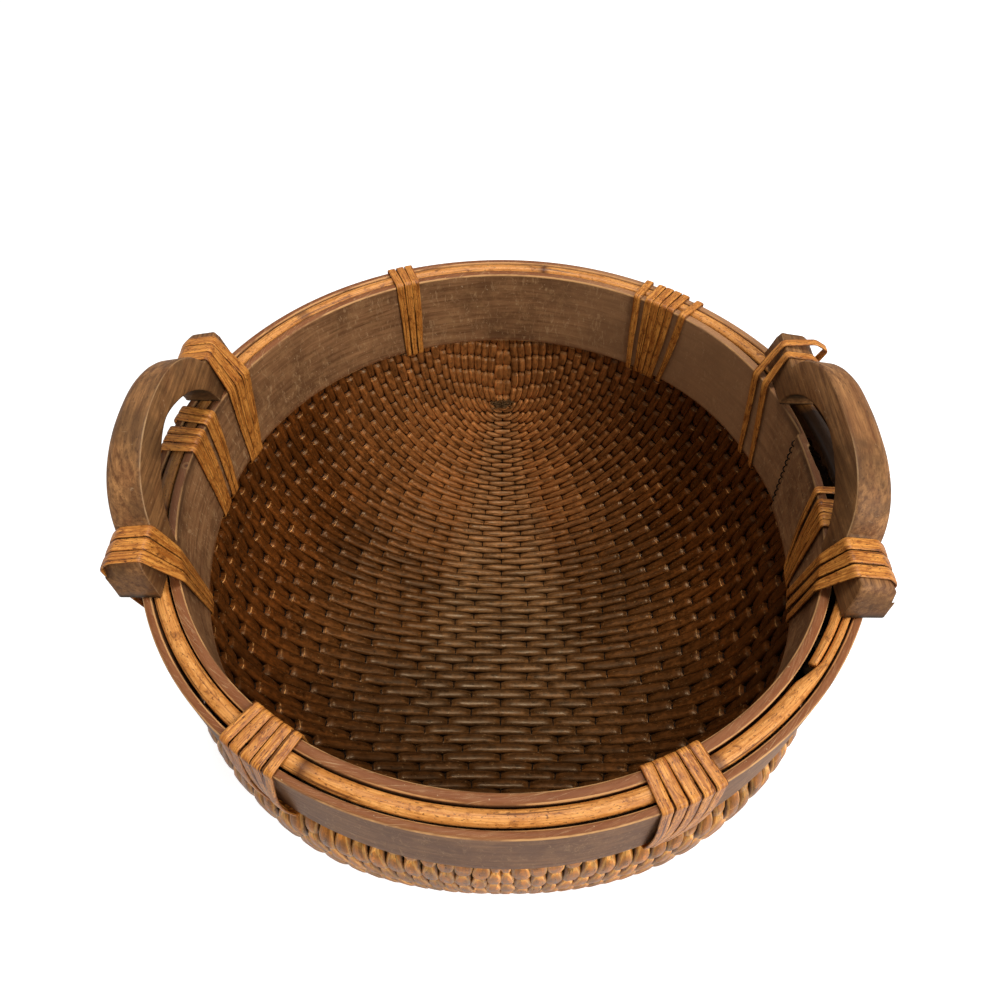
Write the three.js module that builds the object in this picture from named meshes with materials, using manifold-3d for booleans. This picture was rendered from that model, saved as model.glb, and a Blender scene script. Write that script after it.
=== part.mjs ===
// A round rice basket: a deep bowl of willow rods bound with hemp thread, whose edge is gripped between
// two bentwood hoops with a cane rod on top. Two wooden handles stand on the rim. Windings of split
// rattan bind hoops, cane and handle feet to the bowl, and pass through it just under the hoops.
// Millimetres, +Z up, origin on the ground under the centre. The handles lie at +X and -X.
import * as THREE from "three";
import { mergeVertices } from "three/addons/utils/BufferGeometryUtils.js";
import Module from "manifold-3d";

const wasm = await Module();
wasm.setup();

// Driving dimensions
const RIM_HEIGHT = 260; // ground to the top edges of the hoops
const OUTER_HOOP_RADIUS = 210; // outer face
const OUTER_HOOP_THICKNESS = 4.2;
const OUTER_HOOP_HEIGHT = 51;
const INNER_HOOP_THICKNESS = 5.4;
const INNER_HOOP_HEIGHT = 63;
const HOOP_EDGE_ROUND = 1.2; // wear on the hoops' exposed edges
const WALL_THICKNESS = 9.6; // rods and thread together
const BELLY_BULGE = 3.5; // how much farther out the bowl's widest place is than its wall at the hoops
const BELLY_DROP = 74; // rim to the widest place
const BOWL_FULLNESS = 2.6; // 2 is an ellipse, more is squarer
const BASE_CUT = 0.8; // how much of the rounded bottom the standing flat takes off
const BACK_RIBS = 24; // from the bowl's middle to the pole in its back wall, two rods to a rib
const FRONT_RIBS = 18; // from the middle to the pole in the front wall
const WEAVE_POLE = 0.76; // the poles, as a share of the way from the floor's centre to the hoops
const RIB_GROOVE = 3.4; // depth between two ribs, on each face
const RIB_STEPS = 14; // from the middle line to the hoops
const RIB_END = 0.98; // share of a rib's length at which its grooves start to run out
const GROOVE_START = 25; // from the standing flat's edge to where the outer grooves are full
const CANE_WIDTH = 8;
const CANE_HEIGHT = 6.5;
const CANE_PROUD = 0.8; // how far the cane stands above the hoops
const CANE_SPLICE_FROM = -40; // degrees, whole steps of the ring, where the cane's ends lie side by side
const CANE_SPLICE_TO = -25;
const CANE_END_SHARE = 0.46; // width of each pared end, as a share of the cane
const FIT_GAP = 0.3; // between pieces that touch

const STRIP_THICKNESS = 1.2; // split rattan
const STRIP_SPACING = 0.6; // from one turn to the next
const STRIP_CLEARANCE = 0.45;
const STRIP_CORNER = 1.5; // bend radius where a strip turns over an edge
const STRIP_DROP = 4; // below the outer hoop before a strip turns into the bowl's wall
const STRIP_TUCK = 2; // below the inner hoop where a strip comes out of the wall
const SLOT_CLEARANCE = 0.8;

const LEFT_FLATTENING = 0.022; // how much narrower the rim is under each handle
const RIGHT_FLATTENING = 0.043;
const FLATTENED_LENGTH = 100; // along the rim from the middle of the flattening to where little is left
const FLATTENED_FROM = 150; // height from which the bowl has all of it

const HANDLE_WIDTH = 22; // across the rim
const HANDLE_LEAN = 0.17; // outward for each millimetre up
const HANDLE_TOP_FALL = 2.5; // how much lower the top is where its chamfer starts
const HANDLE_CHAMFER_WIDTH = 6; // along the outer top edge
const HANDLE_CHAMFER_HEIGHT = 5;
const FOOT_BEVEL = 6;

// Each handle, along Y. side is 1 at +X and -1 at -X, setIn is how far its inner face lies inside the
// outer hoop's radius, and yaw how much farther out it lies for each millimetre towards +Y.
const RIGHT_HANDLE = {
  side: 1,
  setIn: 36,
  yaw: 0.023,
  from: -103,
  to: 101,
  footHeight: 22,
  middle: -3,
  arch: { halfSpan: 68.5, height: 49.8, fullness: 2.58 },
  opening: { halfSpan: 54.5, height: 34.5, fullness: 1.75 },
};
const LEFT_HANDLE = {
  side: -1,
  setIn: 32,
  yaw: 0.028,
  from: -94,
  to: 94,
  footHeight: 25,
  middle: -4,
  arch: { halfSpan: 68, height: 54.2, fullness: 2.26 },
  opening: { halfSpan: 55, height: 39.5, fullness: 1.65 },
};

const SEAM_TOP_ANGLE = 8; // degrees, the inner hoop's sewn lap, from its top edge
const SEAM_FOOT_ANGLE = 5.8;
const SEAM_MARGIN = 5; // from each edge of the hoop to the first stitch
const THREAD_RADIUS = 0.6;

const ROUND_STEPS = 72;

// Sizes that follow
const innerHoopOuter =
  OUTER_HOOP_RADIUS - OUTER_HOOP_THICKNESS - FIT_GAP - WALL_THICKNESS - FIT_GAP;
const innerHoopInner = innerHoopOuter - INNER_HOOP_THICKNESS;
const outerHoopInner = OUTER_HOOP_RADIUS - OUTER_HOOP_THICKNESS;
const wallOuter = outerHoopInner - FIT_GAP;
const wallInner = wallOuter - WALL_THICKNESS;
const bellyRadius = wallOuter + BELLY_BULGE;
const caneMiddle = (wallOuter + wallInner) / 2;
const caneTop = RIM_HEIGHT + CANE_PROUD;
const wallTop = caneTop - CANE_HEIGHT - FIT_GAP;
const stripStand = STRIP_CLEARANCE + STRIP_THICKNESS / 2; // strip's middle from what it lies on
const handleBase = caneTop + FIT_GAP;

const radians = THREE.MathUtils.degToRad;

// Materials
const willow = new THREE.MeshStandardMaterial({ color: 0x8a5528, roughness: 0.6, metalness: 0 });
const bentwood = new THREE.MeshStandardMaterial({ color: 0x5c4530, roughness: 0.5, metalness: 0 });
const peeledCane = new THREE.MeshStandardMaterial({ color: 0xb8742f, roughness: 0.45, metalness: 0 });
const carvedWood = new THREE.MeshStandardMaterial({ color: 0x7a5a3c, roughness: 0.5, metalness: 0 });
const splitRattan = new THREE.MeshStandardMaterial({ color: 0xbf7a35, roughness: 0.5, metalness: 0 });
const hempThread = new THREE.MeshStandardMaterial({ color: 0x3a2a1c, roughness: 0.9, metalness: 0 });

// Geometry helpers

// The rim is a little flattened under the handles. Every point of the bowl, its hoops and the lashings
// on them goes through this.
function flattened(point) {
  const share = point.x > 0 ? RIGHT_FLATTENING : LEFT_FLATTENING;
  const nearMiddle = Math.exp(-((point.y / FLATTENED_LENGTH) ** 2));
  point.x *= 1 - share * nearMiddle * THREE.MathUtils.smoothstep(point.z, 0, FLATTENED_FROM);
  return point;
}

// A point given by radius, angle about Z in radians, and height.
function polar(radius, angle, height) {
  return new THREE.Vector3(radius * Math.cos(angle), radius * Math.sin(angle), height);
}

function rimPoint(radius, angle, height) {
  return flattened(polar(radius, angle, height));
}

// A ring or bowl turned about Z from a profile of [radius, height], outside upwards, inside downwards.
function turned(profile) {
  const points = profile.map(([radius, height]) => new THREE.Vector2(radius, height));
  const geometry = new THREE.LatheGeometry(points, ROUND_STEPS).rotateX(Math.PI / 2);
  const places = geometry.attributes.position;
  for (let i = 0; i < places.count; i++) {
    const point = flattened(new THREE.Vector3().fromBufferAttribute(places, i));
    places.setXYZ(i, point.x, point.y, point.z);
  }
  return geometry;
}

// A closed solid through rings of equal count, each right-handed about the way the rings advance.
// outline is the rings' shape in the plane, and serves to close the two ends.
function loft(rings, outline) {
  const count = outline.length;
  const positions = rings.flat().flatMap((point) => [point.x, point.y, point.z]);
  const faces = [];
  for (let ring = 0; ring + 1 < rings.length; ring++) {
    for (let k = 0; k < count; k++) {
      const a = ring * count + k;
      const b = ring * count + ((k + 1) % count);
      faces.push(a, b, b + count, a, b + count, a + count);
    }
  }
  const last = (rings.length - 1) * count;
  const clockwise = THREE.ShapeUtils.isClockWise(outline);
  for (const [a, b, c] of THREE.ShapeUtils.triangulateShape(outline, [])) {
    const [second, third] = clockwise ? [c, b] : [b, c];
    faces.push(a, third, second, last + a, last + second, last + third);
  }
  const geometry = new THREE.BufferGeometry();
  geometry.setAttribute("position", new THREE.Float32BufferAttribute(positions, 3));
  geometry.setIndex(faces);
  return geometry;
}

function toSolid(geometry) {
  const bare = geometry.clone();
  bare.deleteAttribute("normal");
  bare.deleteAttribute("uv");
  const merged = mergeVertices(bare, 1e-4);
  const triVerts = [];
  const index = merged.index.array;
  for (let i = 0; i < index.length; i += 3) {
    const [a, b, c] = [index[i], index[i + 1], index[i + 2]];
    if (a !== b && b !== c && c !== a) triVerts.push(a, b, c);
  }
  return new wasm.Manifold(
    new wasm.Mesh({
      numProp: 3,
      vertProperties: merged.attributes.position.array,
      triVerts: new Uint32Array(triVerts),
    }),
  );
}

function toGeometry(solid) {
  const mesh = solid.getMesh();
  const geometry = new THREE.BufferGeometry();
  geometry.setAttribute("position", new THREE.BufferAttribute(mesh.vertProperties, 3));
  geometry.setIndex(new THREE.BufferAttribute(mesh.triVerts, 1));
  geometry.computeVertexNormals();
  return geometry;
}

// Split rattan windings

// Where every turn goes through the bowl's wall, as [radius, height]: in at entry, out at exit, and
// up along the inner hoop from tuck.
const inside = innerHoopInner - stripStand;
const outside = OUTER_HOOP_RADIUS + stripStand;
const innerFoot = RIM_HEIGHT - INNER_HOOP_HEIGHT - stripStand;
const entry = [outside, RIM_HEIGHT - OUTER_HOOP_HEIGHT - stripStand - STRIP_DROP];
const exit = [innerHoopOuter, innerFoot - STRIP_TUCK];
const tuck = [inside, innerFoot - STRIP_TUCK / 2];

// A corner of a strip's path: a place, and the direction of the strip's width there.
function rimCorner([radius, height], angle) {
  return { place: rimPoint(radius, angle, height), across: polar(1, angle + Math.PI / 2, 0) };
}

// A turn's corners over the hoops' edges.
function overRim(angle) {
  const top = caneTop + stripStand;
  return [rimCorner([inside, top], angle), rimCorner([outside, top], angle)];
}

// A turn's corners over a handle's foot, which it crosses square to the handle at this place along it.
// loose is how far it stands off the foot's outer side.
function overFoot(angle, handle, along, width, loose) {
  const { side, footHeight } = handle;
  const squareAcross = new THREE.Vector3(handle.yaw, side, 0).normalize();
  const onHandle = (across, height, out, up) => {
    const place = handlePoint(handle, along, height, across);
    place.x += side * out;
    place.z += up;
    return { place, across: squareAcross };
  };
  // Where the strip leaves the hoop's inner edge it has come part of the way along.
  const share = INNER_HOOP_HEIGHT / (INNER_HOOP_HEIGHT + footHeight);
  const lowY = rimPoint(inside, angle, tuck[1]).y;
  const leaveY = lowY + (along - lowY) * share;
  const leave = edgeCorner(handle, leaveY, innerHoopInner, 0, width);
  const arrive = edgeCorner(handle, along, OUTER_HOOP_RADIUS, HANDLE_WIDTH, width);
  const chamferFrom = HANDLE_WIDTH - HANDLE_CHAMFER_WIDTH;
  const chamferTop = footHeight - HANDLE_TOP_FALL;
  const chamferFoot = chamferTop - HANDLE_CHAMFER_HEIGHT;
  return [
    leave,
    onHandle(0, footHeight, -stripStand, stripStand),
    onHandle(chamferFrom, chamferTop, stripStand / 2 + loose / 2, stripStand + loose / 2),
    onHandle(HANDLE_WIDTH, chamferFoot, stripStand + loose, stripStand / 2 + loose / 2),
    arrive,
  ];
}

// The corner of a strip's path at the rim's edge under a foot, clear of the hoop of this radius and of
// the handle's face at this distance across it. The inner edge is passed inside, the outer outside.
function edgeCorner(handle, along, radius, across, width) {
  const outwards = across > 0 ? 1 : -1;
  const slack = stripStand + (width / 2) * Math.abs(along / radius);
  const turn = Math.asin(along / radius);
  const hoopX = Math.abs(rimPoint(radius, handle.side > 0 ? turn : Math.PI - turn, handleBase).x);
  const faceX = Math.abs(handlePoint(handle, along, 0, across).x);
  const x = outwards > 0 ? Math.max(hoopX, faceX) + slack : Math.min(hoopX, faceX) - slack;
  const angle = Math.atan2(along, handle.side * x);
  return {
    place: new THREE.Vector3(handle.side * x, along, handleBase),
    across: polar(1, angle + Math.PI / 2, 0),
  };
}

// A point of a handle: its place along Y, height above its base, and distance across from its inner face.
function handlePoint({ side, setIn, yaw }, along, height, across) {
  const x = OUTER_HOOP_RADIUS - setIn + yaw * along + HANDLE_LEAN * height + across;
  return new THREE.Vector3(side * x, along, handleBase + height);
}

// Rounds the corners of an open path and keeps its two ends.
function roundedPath(corners) {
  const path = [corners[0]];
  for (let i = 1; i + 1 < corners.length; i++) {
    const [before, corner, after] = [corners[i - 1], corners[i], corners[i + 1]];
    const start = towards(corner, before);
    const end = towards(corner, after);
    const blend = (a, b, c) =>
      a.clone().multiplyScalar(0.25).addScaledVector(b, 0.5).addScaledVector(c, 0.25);
    const middle = {
      place: blend(start.place, corner.place, end.place),
      across: blend(start.across, corner.across, end.across).normalize(),
    };
    path.push(start, middle, end);
  }
  path.push(corners[corners.length - 1]);
  return path;
}

// The place where a corner's bend starts on the side of its neighbour.
function towards(corner, neighbour) {
  const share = Math.min(0.45, STRIP_CORNER / corner.place.distanceTo(neighbour.place));
  return {
    place: corner.place.clone().lerp(neighbour.place, share),
    across: corner.across.clone().lerp(neighbour.across, share).normalize(),
  };
}

// One unbroken strip that goes round the rim once for each angle. All its sideways shift to the next
// turn is made where it passes through the wall, and it ends there, under the inner hoop.
function windingGeometry({ name, width, angles, foot }) {
  const shift = angles[1] - angles[0];
  const corners = [rimCorner([(inside + innerHoopOuter) / 2, exit[1]], angles[0])];
  angles.forEach((angle, turn) => {
    const over = foot
      ? overFoot(angle, foot.handle, foot.along[turn], width, foot.loose[turn])
      : overRim(angle);
    const nextAngle = turn + 1 < angles.length ? angles[turn + 1] : angle + shift;
    corners.push(rimCorner(tuck, angle), ...over, rimCorner(entry, angle), rimCorner(exit, nextAngle));
  });
  const outline = [
    new THREE.Vector2(-width / 2, -STRIP_THICKNESS / 2),
    new THREE.Vector2(width / 2, -STRIP_THICKNESS / 2),
    new THREE.Vector2(width / 2, STRIP_THICKNESS / 2),
    new THREE.Vector2(-width / 2, STRIP_THICKNESS / 2),
  ];
  const path = roundedPath(corners);
  const last = path.length - 1;
  const rings = path.map((corner, i) =>
    stripRing(path[Math.max(i - 1, 0)], corner, path[Math.min(i + 1, last)], outline),
  );
  console.log(`${name}: least gap to itself ${leastGap(rings, angles.length).toFixed(2)} mm`);
  return loft(rings, outline);
}

// The strip's section where its path passes through a corner, square to the bisector of the bend.
function stripRing(before, { place, across }, after, outline) {
  const incoming = place.clone().sub(before.place).normalize();
  const outgoing = after.place.clone().sub(place).normalize();
  const tangent = incoming.clone().add(outgoing).normalize();
  const reference = incoming.lengthSq() > 0 ? incoming : outgoing;
  const mitre = 1 / Math.max(0.8, tangent.dot(reference));
  const outward = tangent.clone().cross(across).normalize().multiplyScalar(mitre);
  return outline.map(({ x, y }) =>
    place.clone().addScaledVector(across, x).addScaledVector(outward, y),
  );
}

// The least distance between the points of one turn's sections and those of the next turn.
function leastGap(rings, turns) {
  const perTurn = Math.floor(rings.length / turns);
  let least = Infinity;
  for (let i = 0; i < rings.length; i++) {
    for (let j = i + Math.floor(perTurn / 2); j < rings.length; j++) {
      for (const a of rings[i]) {
        for (const b of rings[j]) least = Math.min(least, a.distanceTo(b));
      }
    }
  }
  return least;
}

// The windings, by place. Each is given its strip's width, the angle in degrees from +X towards +Y of
// the group's middle, and where its turns lie, counted in widths of a turn. A count over one leaves a
// turn that stands apart from its group. Where the counts fall, the strip runs the other way round.
function winding(name, width, middleDegrees, counts, foot) {
  const step = (width + STRIP_SPACING) / inside;
  const centre = (counts[0] + counts[counts.length - 1]) / 2;
  const angles = counts.map((count) => radians(middleDegrees) + (count - centre) * step);
  return { name, width, angles, foot };
}

// Over a foot each turn also has its place along the handle, and how loose it is.
const leftFar = { handle: LEFT_HANDLE, along: [64, 71.6, 79.2], loose: [0, 0, 0] };
const leftNear = { handle: LEFT_HANDLE, along: [-70.2, -78, -85.8], loose: [0, 0, 0] };
const rightFar = { handle: RIGHT_HANDLE, along: [72.5, 83.5], loose: [0, 6.5] };
const rightNear = { handle: RIGHT_HANDLE, along: [-72.6, -81, -89.4], loose: [0, 0, 0] };
const windings = [
  winding("lashing_back_left", 5.3, 112, [0, 1, 2]),
  winding("lashing_back_right", 5.2, 53.3, [0, 1.8, 2.8, 3.8, 4.8, 6.4]),
  winding("lashing_front_left", 5.5, 236.9, [0, 1, 2, 3, 4]),
  winding("lashing_front_right", 5.6, 293.5, [0, 1, 2, 3, 4]),
  winding("lashing_left_foot_far", 6.8, 160.2, [2, 1, 0], leftFar),
  winding("lashing_left_rim_far", 5.5, 169.2, [1, 0]),
  winding("lashing_left_rim_near", 5.7, 175.1, [0, 1, 2]),
  winding("lashing_left_foot_near", 6.8, 199, [0, 1, 2], leftNear),
  winding("lashing_right_foot_far", 5.2, 20.5, [0, 1.5], rightFar),
  winding("lashing_right_rim", 4.4, -9.5, [0, 1, 2, 3, 4.8]),
  winding("lashing_right_foot_near", 7.2, -18.6, [2, 1, 0], rightNear),
];

// The woven bowl, open at the top, with a slanting slot for each winding. Its rods show as ribs on both
// faces: straight across the floor, in long U's round the two poles, and evenly spaced at the hoops.

// The rounded lower part as [radius, height], from the floor's centre out to its widest place.
function bellyCurve(radius, depth, steps) {
  const points = [];
  for (let i = steps; i >= 0; i--) {
    const angle = (i / steps) * (Math.PI / 2);
    const across = i === steps ? 0 : radius * Math.cos(angle) ** (2 / BOWL_FULLNESS);
    points.push([across, RIM_HEIGHT - BELLY_DROP - depth * Math.sin(angle) ** (2 / BOWL_FULLNESS)]);
  }
  return points;
}

// Where a rod crosses the bowl's middle line, as a share of the way to the pole. part counts the rods
// evenly, from 0 at the middle rod to 1 at the pole. They lie closest near the back pole.
function crossing(part, back) {
  const share = back ? 1.42 - 0.62 * part + 0.2 * part ** 2 : 1.12 + 0.2 * part - 0.32 * part ** 2;
  return Math.min(part * share, 1);
}

// A place on a rod's right arm, on the weave spread flat, whose centre is 0 and whose edge at the hoops
// is 1. share goes from 0 on the bowl's middle line to 1 at the hoops.
function onWeave(part, back, share) {
  const azimuth = (Math.PI / 2) * (1 - part);
  const near = Math.hypot(Math.sin(azimuth), Math.cos(azimuth) - WEAVE_POLE);
  const far = Math.hypot(Math.sin(azimuth), Math.cos(azimuth) + WEAVE_POLE);
  const stretch = Math.acosh((near + far) / (2 * WEAVE_POLE)) * share;
  const turnAtHoops = Math.acos(Math.min((far - near) / (2 * WEAVE_POLE), 1));
  const turnAtMiddle = Math.acos(crossing(part, back));
  const turn = turnAtMiddle + (turnAtHoops - turnAtMiddle) * share ** 1.5;
  const north = WEAVE_POLE * Math.cosh(stretch) * Math.cos(turn);
  return new THREE.Vector2(WEAVE_POLE * Math.sinh(stretch) * Math.sin(turn), back ? north : -north);
}

// The lines of the ribs' grooves and crests between the middle and one pole.
function ribLines(ribs, back) {
  const lines = [];
  for (let rib = 0; rib < ribs; rib++) {
    lines.push({ back, part: rib / ribs, groove: RIB_GROOVE });
    lines.push({ back, part: (rib + 0.5) / ribs, groove: 0 });
  }
  return [...lines, { back, part: 1, groove: RIB_GROOVE }];
}

// One face of the weave as rows of points, front to back, each from the left hoop to the right hoop.
// profile is the face's [radius, height] from the floor's centre to the hoop's foot. inwards is 1 on the
// outer face and -1 on the inner one, and grooves start outside plainRadius.
function weaveFace(lines, profile, inwards, plainRadius) {
  const path = new THREE.Path(profile.map(([radius, height]) => new THREE.Vector2(radius, height)));
  return lines.map(({ part, back, groove }) => {
    const arm = [];
    for (let i = 0; i <= RIB_STEPS; i++) {
      const even = (i / (RIB_STEPS - 1)) * RIB_END;
      const flat = onWeave(part, back, i === RIB_STEPS ? 1 : even * (1.35 - 0.35 * even));
      const way = Math.min(flat.length(), 1);
      const place = path.getPoint(way);
      const run = path.getTangent(way);
      const full = THREE.MathUtils.smoothstep(place.x, plainRadius, plainRadius + GROOVE_START);
      const depth = i === RIB_STEPS ? 0 : groove * full * inwards;
      arm.push(polar(place.x - run.y * depth, Math.atan2(flat.y, flat.x), place.y + run.x * depth));
    }
    const leftArm = arm.slice(1).map(({ x, y, z }) => new THREE.Vector3(-x, y, z));
    return [...leftArm.reverse(), ...arm].map(flattened);
  });
}

// The closed surface of the weave's two faces and the plain edge, whose rings run anticlockwise.
function bowlSurface(outerFace, innerFace, edgeRings) {
  const rows = outerFace.length;
  const columns = outerFace[0].length;
  const faceSize = rows * columns;
  const faces = [];
  for (let row = 0; row + 1 < rows; row++) {
    for (let column = 0; column + 1 < columns; column++) {
      const a = row * columns + column;
      const b = a + columns;
      faces.push(a, b + 1, a + 1, a, b, b + 1);
      const [c, d] = [faceSize + a, faceSize + b];
      faces.push(c, c + 1, d + 1, c, d + 1, d);
    }
  }
  const rim = [];
  for (let row = 0; row < rows; row++) rim.push(row * columns + columns - 1);
  for (let row = rows - 2; row > 0; row--) rim.push(row * columns);
  const edge = edgeRings.map((ring, i) => ring.map((_, k) => 2 * faceSize + i * ring.length + k));
  const rings = [rim, ...edge, rim.map((corner) => faceSize + corner)];
  for (let ring = 0; ring + 1 < rings.length; ring++) {
    const [lower, upper] = [rings[ring], rings[ring + 1]];
    for (let k = 0; k < rim.length; k++) {
      const m = (k + 1) % rim.length;
      faces.push(lower[k], lower[m], upper[m], lower[k], upper[m], upper[k]);
    }
  }
  const points = [...outerFace.flat(), ...innerFace.flat(), ...edgeRings.flat()];
  const positions = points.flatMap(({ x, y, z }) => [x, y, z]);
  const geometry = new THREE.BufferGeometry();
  geometry.setAttribute("position", new THREE.Float32BufferAttribute(positions, 3));
  geometry.setIndex(faces);
  return geometry;
}

function bowlGeometry() {
  const hoopFoot = RIM_HEIGHT - OUTER_HOOP_HEIGHT;
  const innerHoopFoot = RIM_HEIGHT - INNER_HOOP_HEIGHT;
  const bellyTop = RIM_HEIGHT - BELLY_DROP;
  const depth = bellyTop + BASE_CUT;
  const flatRadius = bellyRadius * (1 - (bellyTop / depth) ** BOWL_FULLNESS) ** (1 / BOWL_FULLNESS);
  const bellyInner = bellyRadius - WALL_THICKNESS;
  const outerProfile = [
    ...bellyCurve(bellyRadius, depth, 24),
    [wallOuter + (bellyRadius - wallOuter) * 0.7, (bellyTop + hoopFoot) / 2],
    [wallOuter, hoopFoot],
  ];
  const innerProfile = [
    ...bellyCurve(bellyInner, bellyTop - WALL_THICKNESS, 24),
    [wallInner + (bellyInner - wallInner) * 0.7, (bellyTop + innerHoopFoot) / 2],
    [wallInner, innerHoopFoot],
  ];
  const lines = [...ribLines(FRONT_RIBS, false).reverse(), ...ribLines(BACK_RIBS, true).slice(1)];
  const rightAngles = lines.map(({ part, back }) => (Math.PI / 2) * (back ? part : -part));
  const leftAngles = rightAngles.slice(1, -1).map((angle) => Math.PI - angle);
  const angles = [...rightAngles, ...leftAngles.reverse()];
  const edgeRings = [wallOuter, wallInner].map((radius) =>
    angles.map((angle) => rimPoint(radius, angle, wallTop)),
  );
  const outerFace = weaveFace(lines, outerProfile, 1, flatRadius);
  const innerFace = weaveFace(lines, innerProfile, -1, -GROOVE_START);
  let bowl = toSolid(bowlSurface(outerFace, innerFace, edgeRings)).trimByPlane([0, 0, 1], 0);
  for (const item of windings) bowl = bowl.subtract(toSolid(slotGeometry(item)));
  return toGeometry(bowl);
}

// The slot that one winding needs: a slanting gap that follows the strip through the wall.
function slotGeometry({ width, angles }) {
  const way = new THREE.Vector2(exit[0] - entry[0], exit[1] - entry[1]).normalize();
  const reach = STRIP_DROP + 2 * STRIP_TUCK;
  const start = new THREE.Vector2(...entry).addScaledVector(way, -reach);
  const end = new THREE.Vector2(...exit).addScaledVector(way, reach);
  const side = new THREE.Vector2(-way.y, way.x).multiplyScalar(STRIP_THICKNESS / 2 + SLOT_CLEARANCE);
  const outline = [
    start.clone().add(side),
    end.clone().add(side),
    end.clone().sub(side),
    start.clone().sub(side),
  ];
  const shift = angles[1] - angles[0];
  const reached = [...angles, angles[angles.length - 1] + shift];
  const margin = (width / 2 + SLOT_CLEARANCE) / inside;
  const from = Math.min(...reached) - margin;
  const to = Math.max(...reached) + margin;
  const steps = Math.max(1, Math.ceil((to - from) / radians(360 / ROUND_STEPS)));
  const rings = [];
  for (let i = 0; i <= steps; i++) {
    rings.push(outline.map(({ x, y }) => rimPoint(x, from + ((to - from) * i) / steps, y)));
  }
  return loft(rings, outline);
}

// The hoops

// A hoop's section, with its worn top edge on the side that is open to hands.
function hoopProfile(inner, outer, height, roundInside) {
  const foot = [
    [inner, RIM_HEIGHT - height],
    [outer, RIM_HEIGHT - height],
  ];
  const cut = HOOP_EDGE_ROUND;
  return roundInside
    ? [...foot, [outer, RIM_HEIGHT], [inner + cut, RIM_HEIGHT], [inner, RIM_HEIGHT - cut], foot[0]]
    : [...foot, [outer, RIM_HEIGHT - cut], [outer - cut, RIM_HEIGHT], [inner, RIM_HEIGHT], foot[0]];
}

// Ends of the sewn seam on the inner hoop's inner face, as [angle, height].
const seamEnds = [
  [radians(SEAM_TOP_ANGLE), RIM_HEIGHT - SEAM_MARGIN],
  [radians(SEAM_FOOT_ANGLE), RIM_HEIGHT - INNER_HOOP_HEIGHT + SEAM_MARGIN],
];

function innerHoopGeometry() {
  const ring = turned(hoopProfile(innerHoopInner, innerHoopOuter, INNER_HOOP_HEIGHT, true));
  const groove = seamRod(THREAD_RADIUS + FIT_GAP, FIT_GAP);
  return toGeometry(toSolid(ring).subtract(toSolid(groove)));
}

function outerHoopGeometry() {
  return turned(hoopProfile(outerHoopInner, OUTER_HOOP_RADIUS, OUTER_HOOP_HEIGHT, false));
}

// A square rod along the seam, sunk into the hoop's inner face. half is half its width, and overrun is
// how much longer than the seam it is at each end.
function seamRod(half, overrun) {
  const middle = innerHoopInner + THREAD_RADIUS;
  const outline = [[half, -half], [half, half], [-half, half], [-half, -half]].map(
    ([x, y]) => new THREE.Vector2(x, y),
  );
  const [[topAngle, topHeight], [footAngle, footHeight]] = seamEnds;
  const rings = [
    [footAngle, footHeight - overrun],
    [topAngle, topHeight + overrun],
  ].map(([angle, height]) => {
    const outward = polar(1, angle, 0);
    const across = polar(1, angle + Math.PI / 2, 0);
    return outline.map(({ x, y }) =>
      rimPoint(middle, angle, height).addScaledVector(outward, x).addScaledVector(across, y),
    );
  });
  return loft(rings, outline);
}

// The cane rod on the wall's edge. Its pared ends lie side by side where the rod meets itself.
function caneGeometry() {
  const half = CANE_WIDTH / 2;
  const dome = [
    [-1, 0],
    [-1, 0.45],
    [-0.62, 0.85],
    [0, 1],
    [0.62, 0.85],
    [1, 0.45],
    [1, 0],
  ];
  const step = 360 / ROUND_STEPS;
  const finish = 360 + CANE_SPLICE_TO;
  const rings = [];
  for (let degrees = CANE_SPLICE_FROM; degrees <= finish; degrees += step) {
    // The start of the rod is the inner one of the two pared ends, and its finish the outer one.
    const startShare = degrees > CANE_SPLICE_TO ? 1 : CANE_END_SHARE;
    const finishShare = degrees < 360 + CANE_SPLICE_FROM ? 1 : CANE_END_SHARE;
    const inner = caneMiddle - half + (1 - finishShare) * CANE_WIDTH;
    const outer = caneMiddle + half - (1 - startShare) * CANE_WIDTH;
    rings.push(
      dome.map(([x, y]) =>
        rimPoint(
          (inner + outer) / 2 + (x * (outer - inner)) / 2,
          radians(degrees),
          caneTop - CANE_HEIGHT * (1 - y),
        ),
      ),
    );
  }
  return loft(rings, dome.map(([x, y]) => new THREE.Vector2(x, y)));
}

// A handle: an arch for the hand between two feet that lie along the rim

// Half of the arch's outer or inner line as [along, height], from its foot up to the middle.
function archLine({ halfSpan, height, fullness }, fromHeight, steps) {
  const first = Math.asin((fromHeight / height) ** (fullness / 2));
  const points = [];
  for (let i = 0; i <= steps; i++) {
    const angle = first + (Math.PI / 2 - first) * (i / steps);
    points.push([
      halfSpan * Math.abs(Math.cos(angle)) ** (2 / fullness),
      height * Math.sin(angle) ** (2 / fullness),
    ]);
  }
  return points;
}

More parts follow.
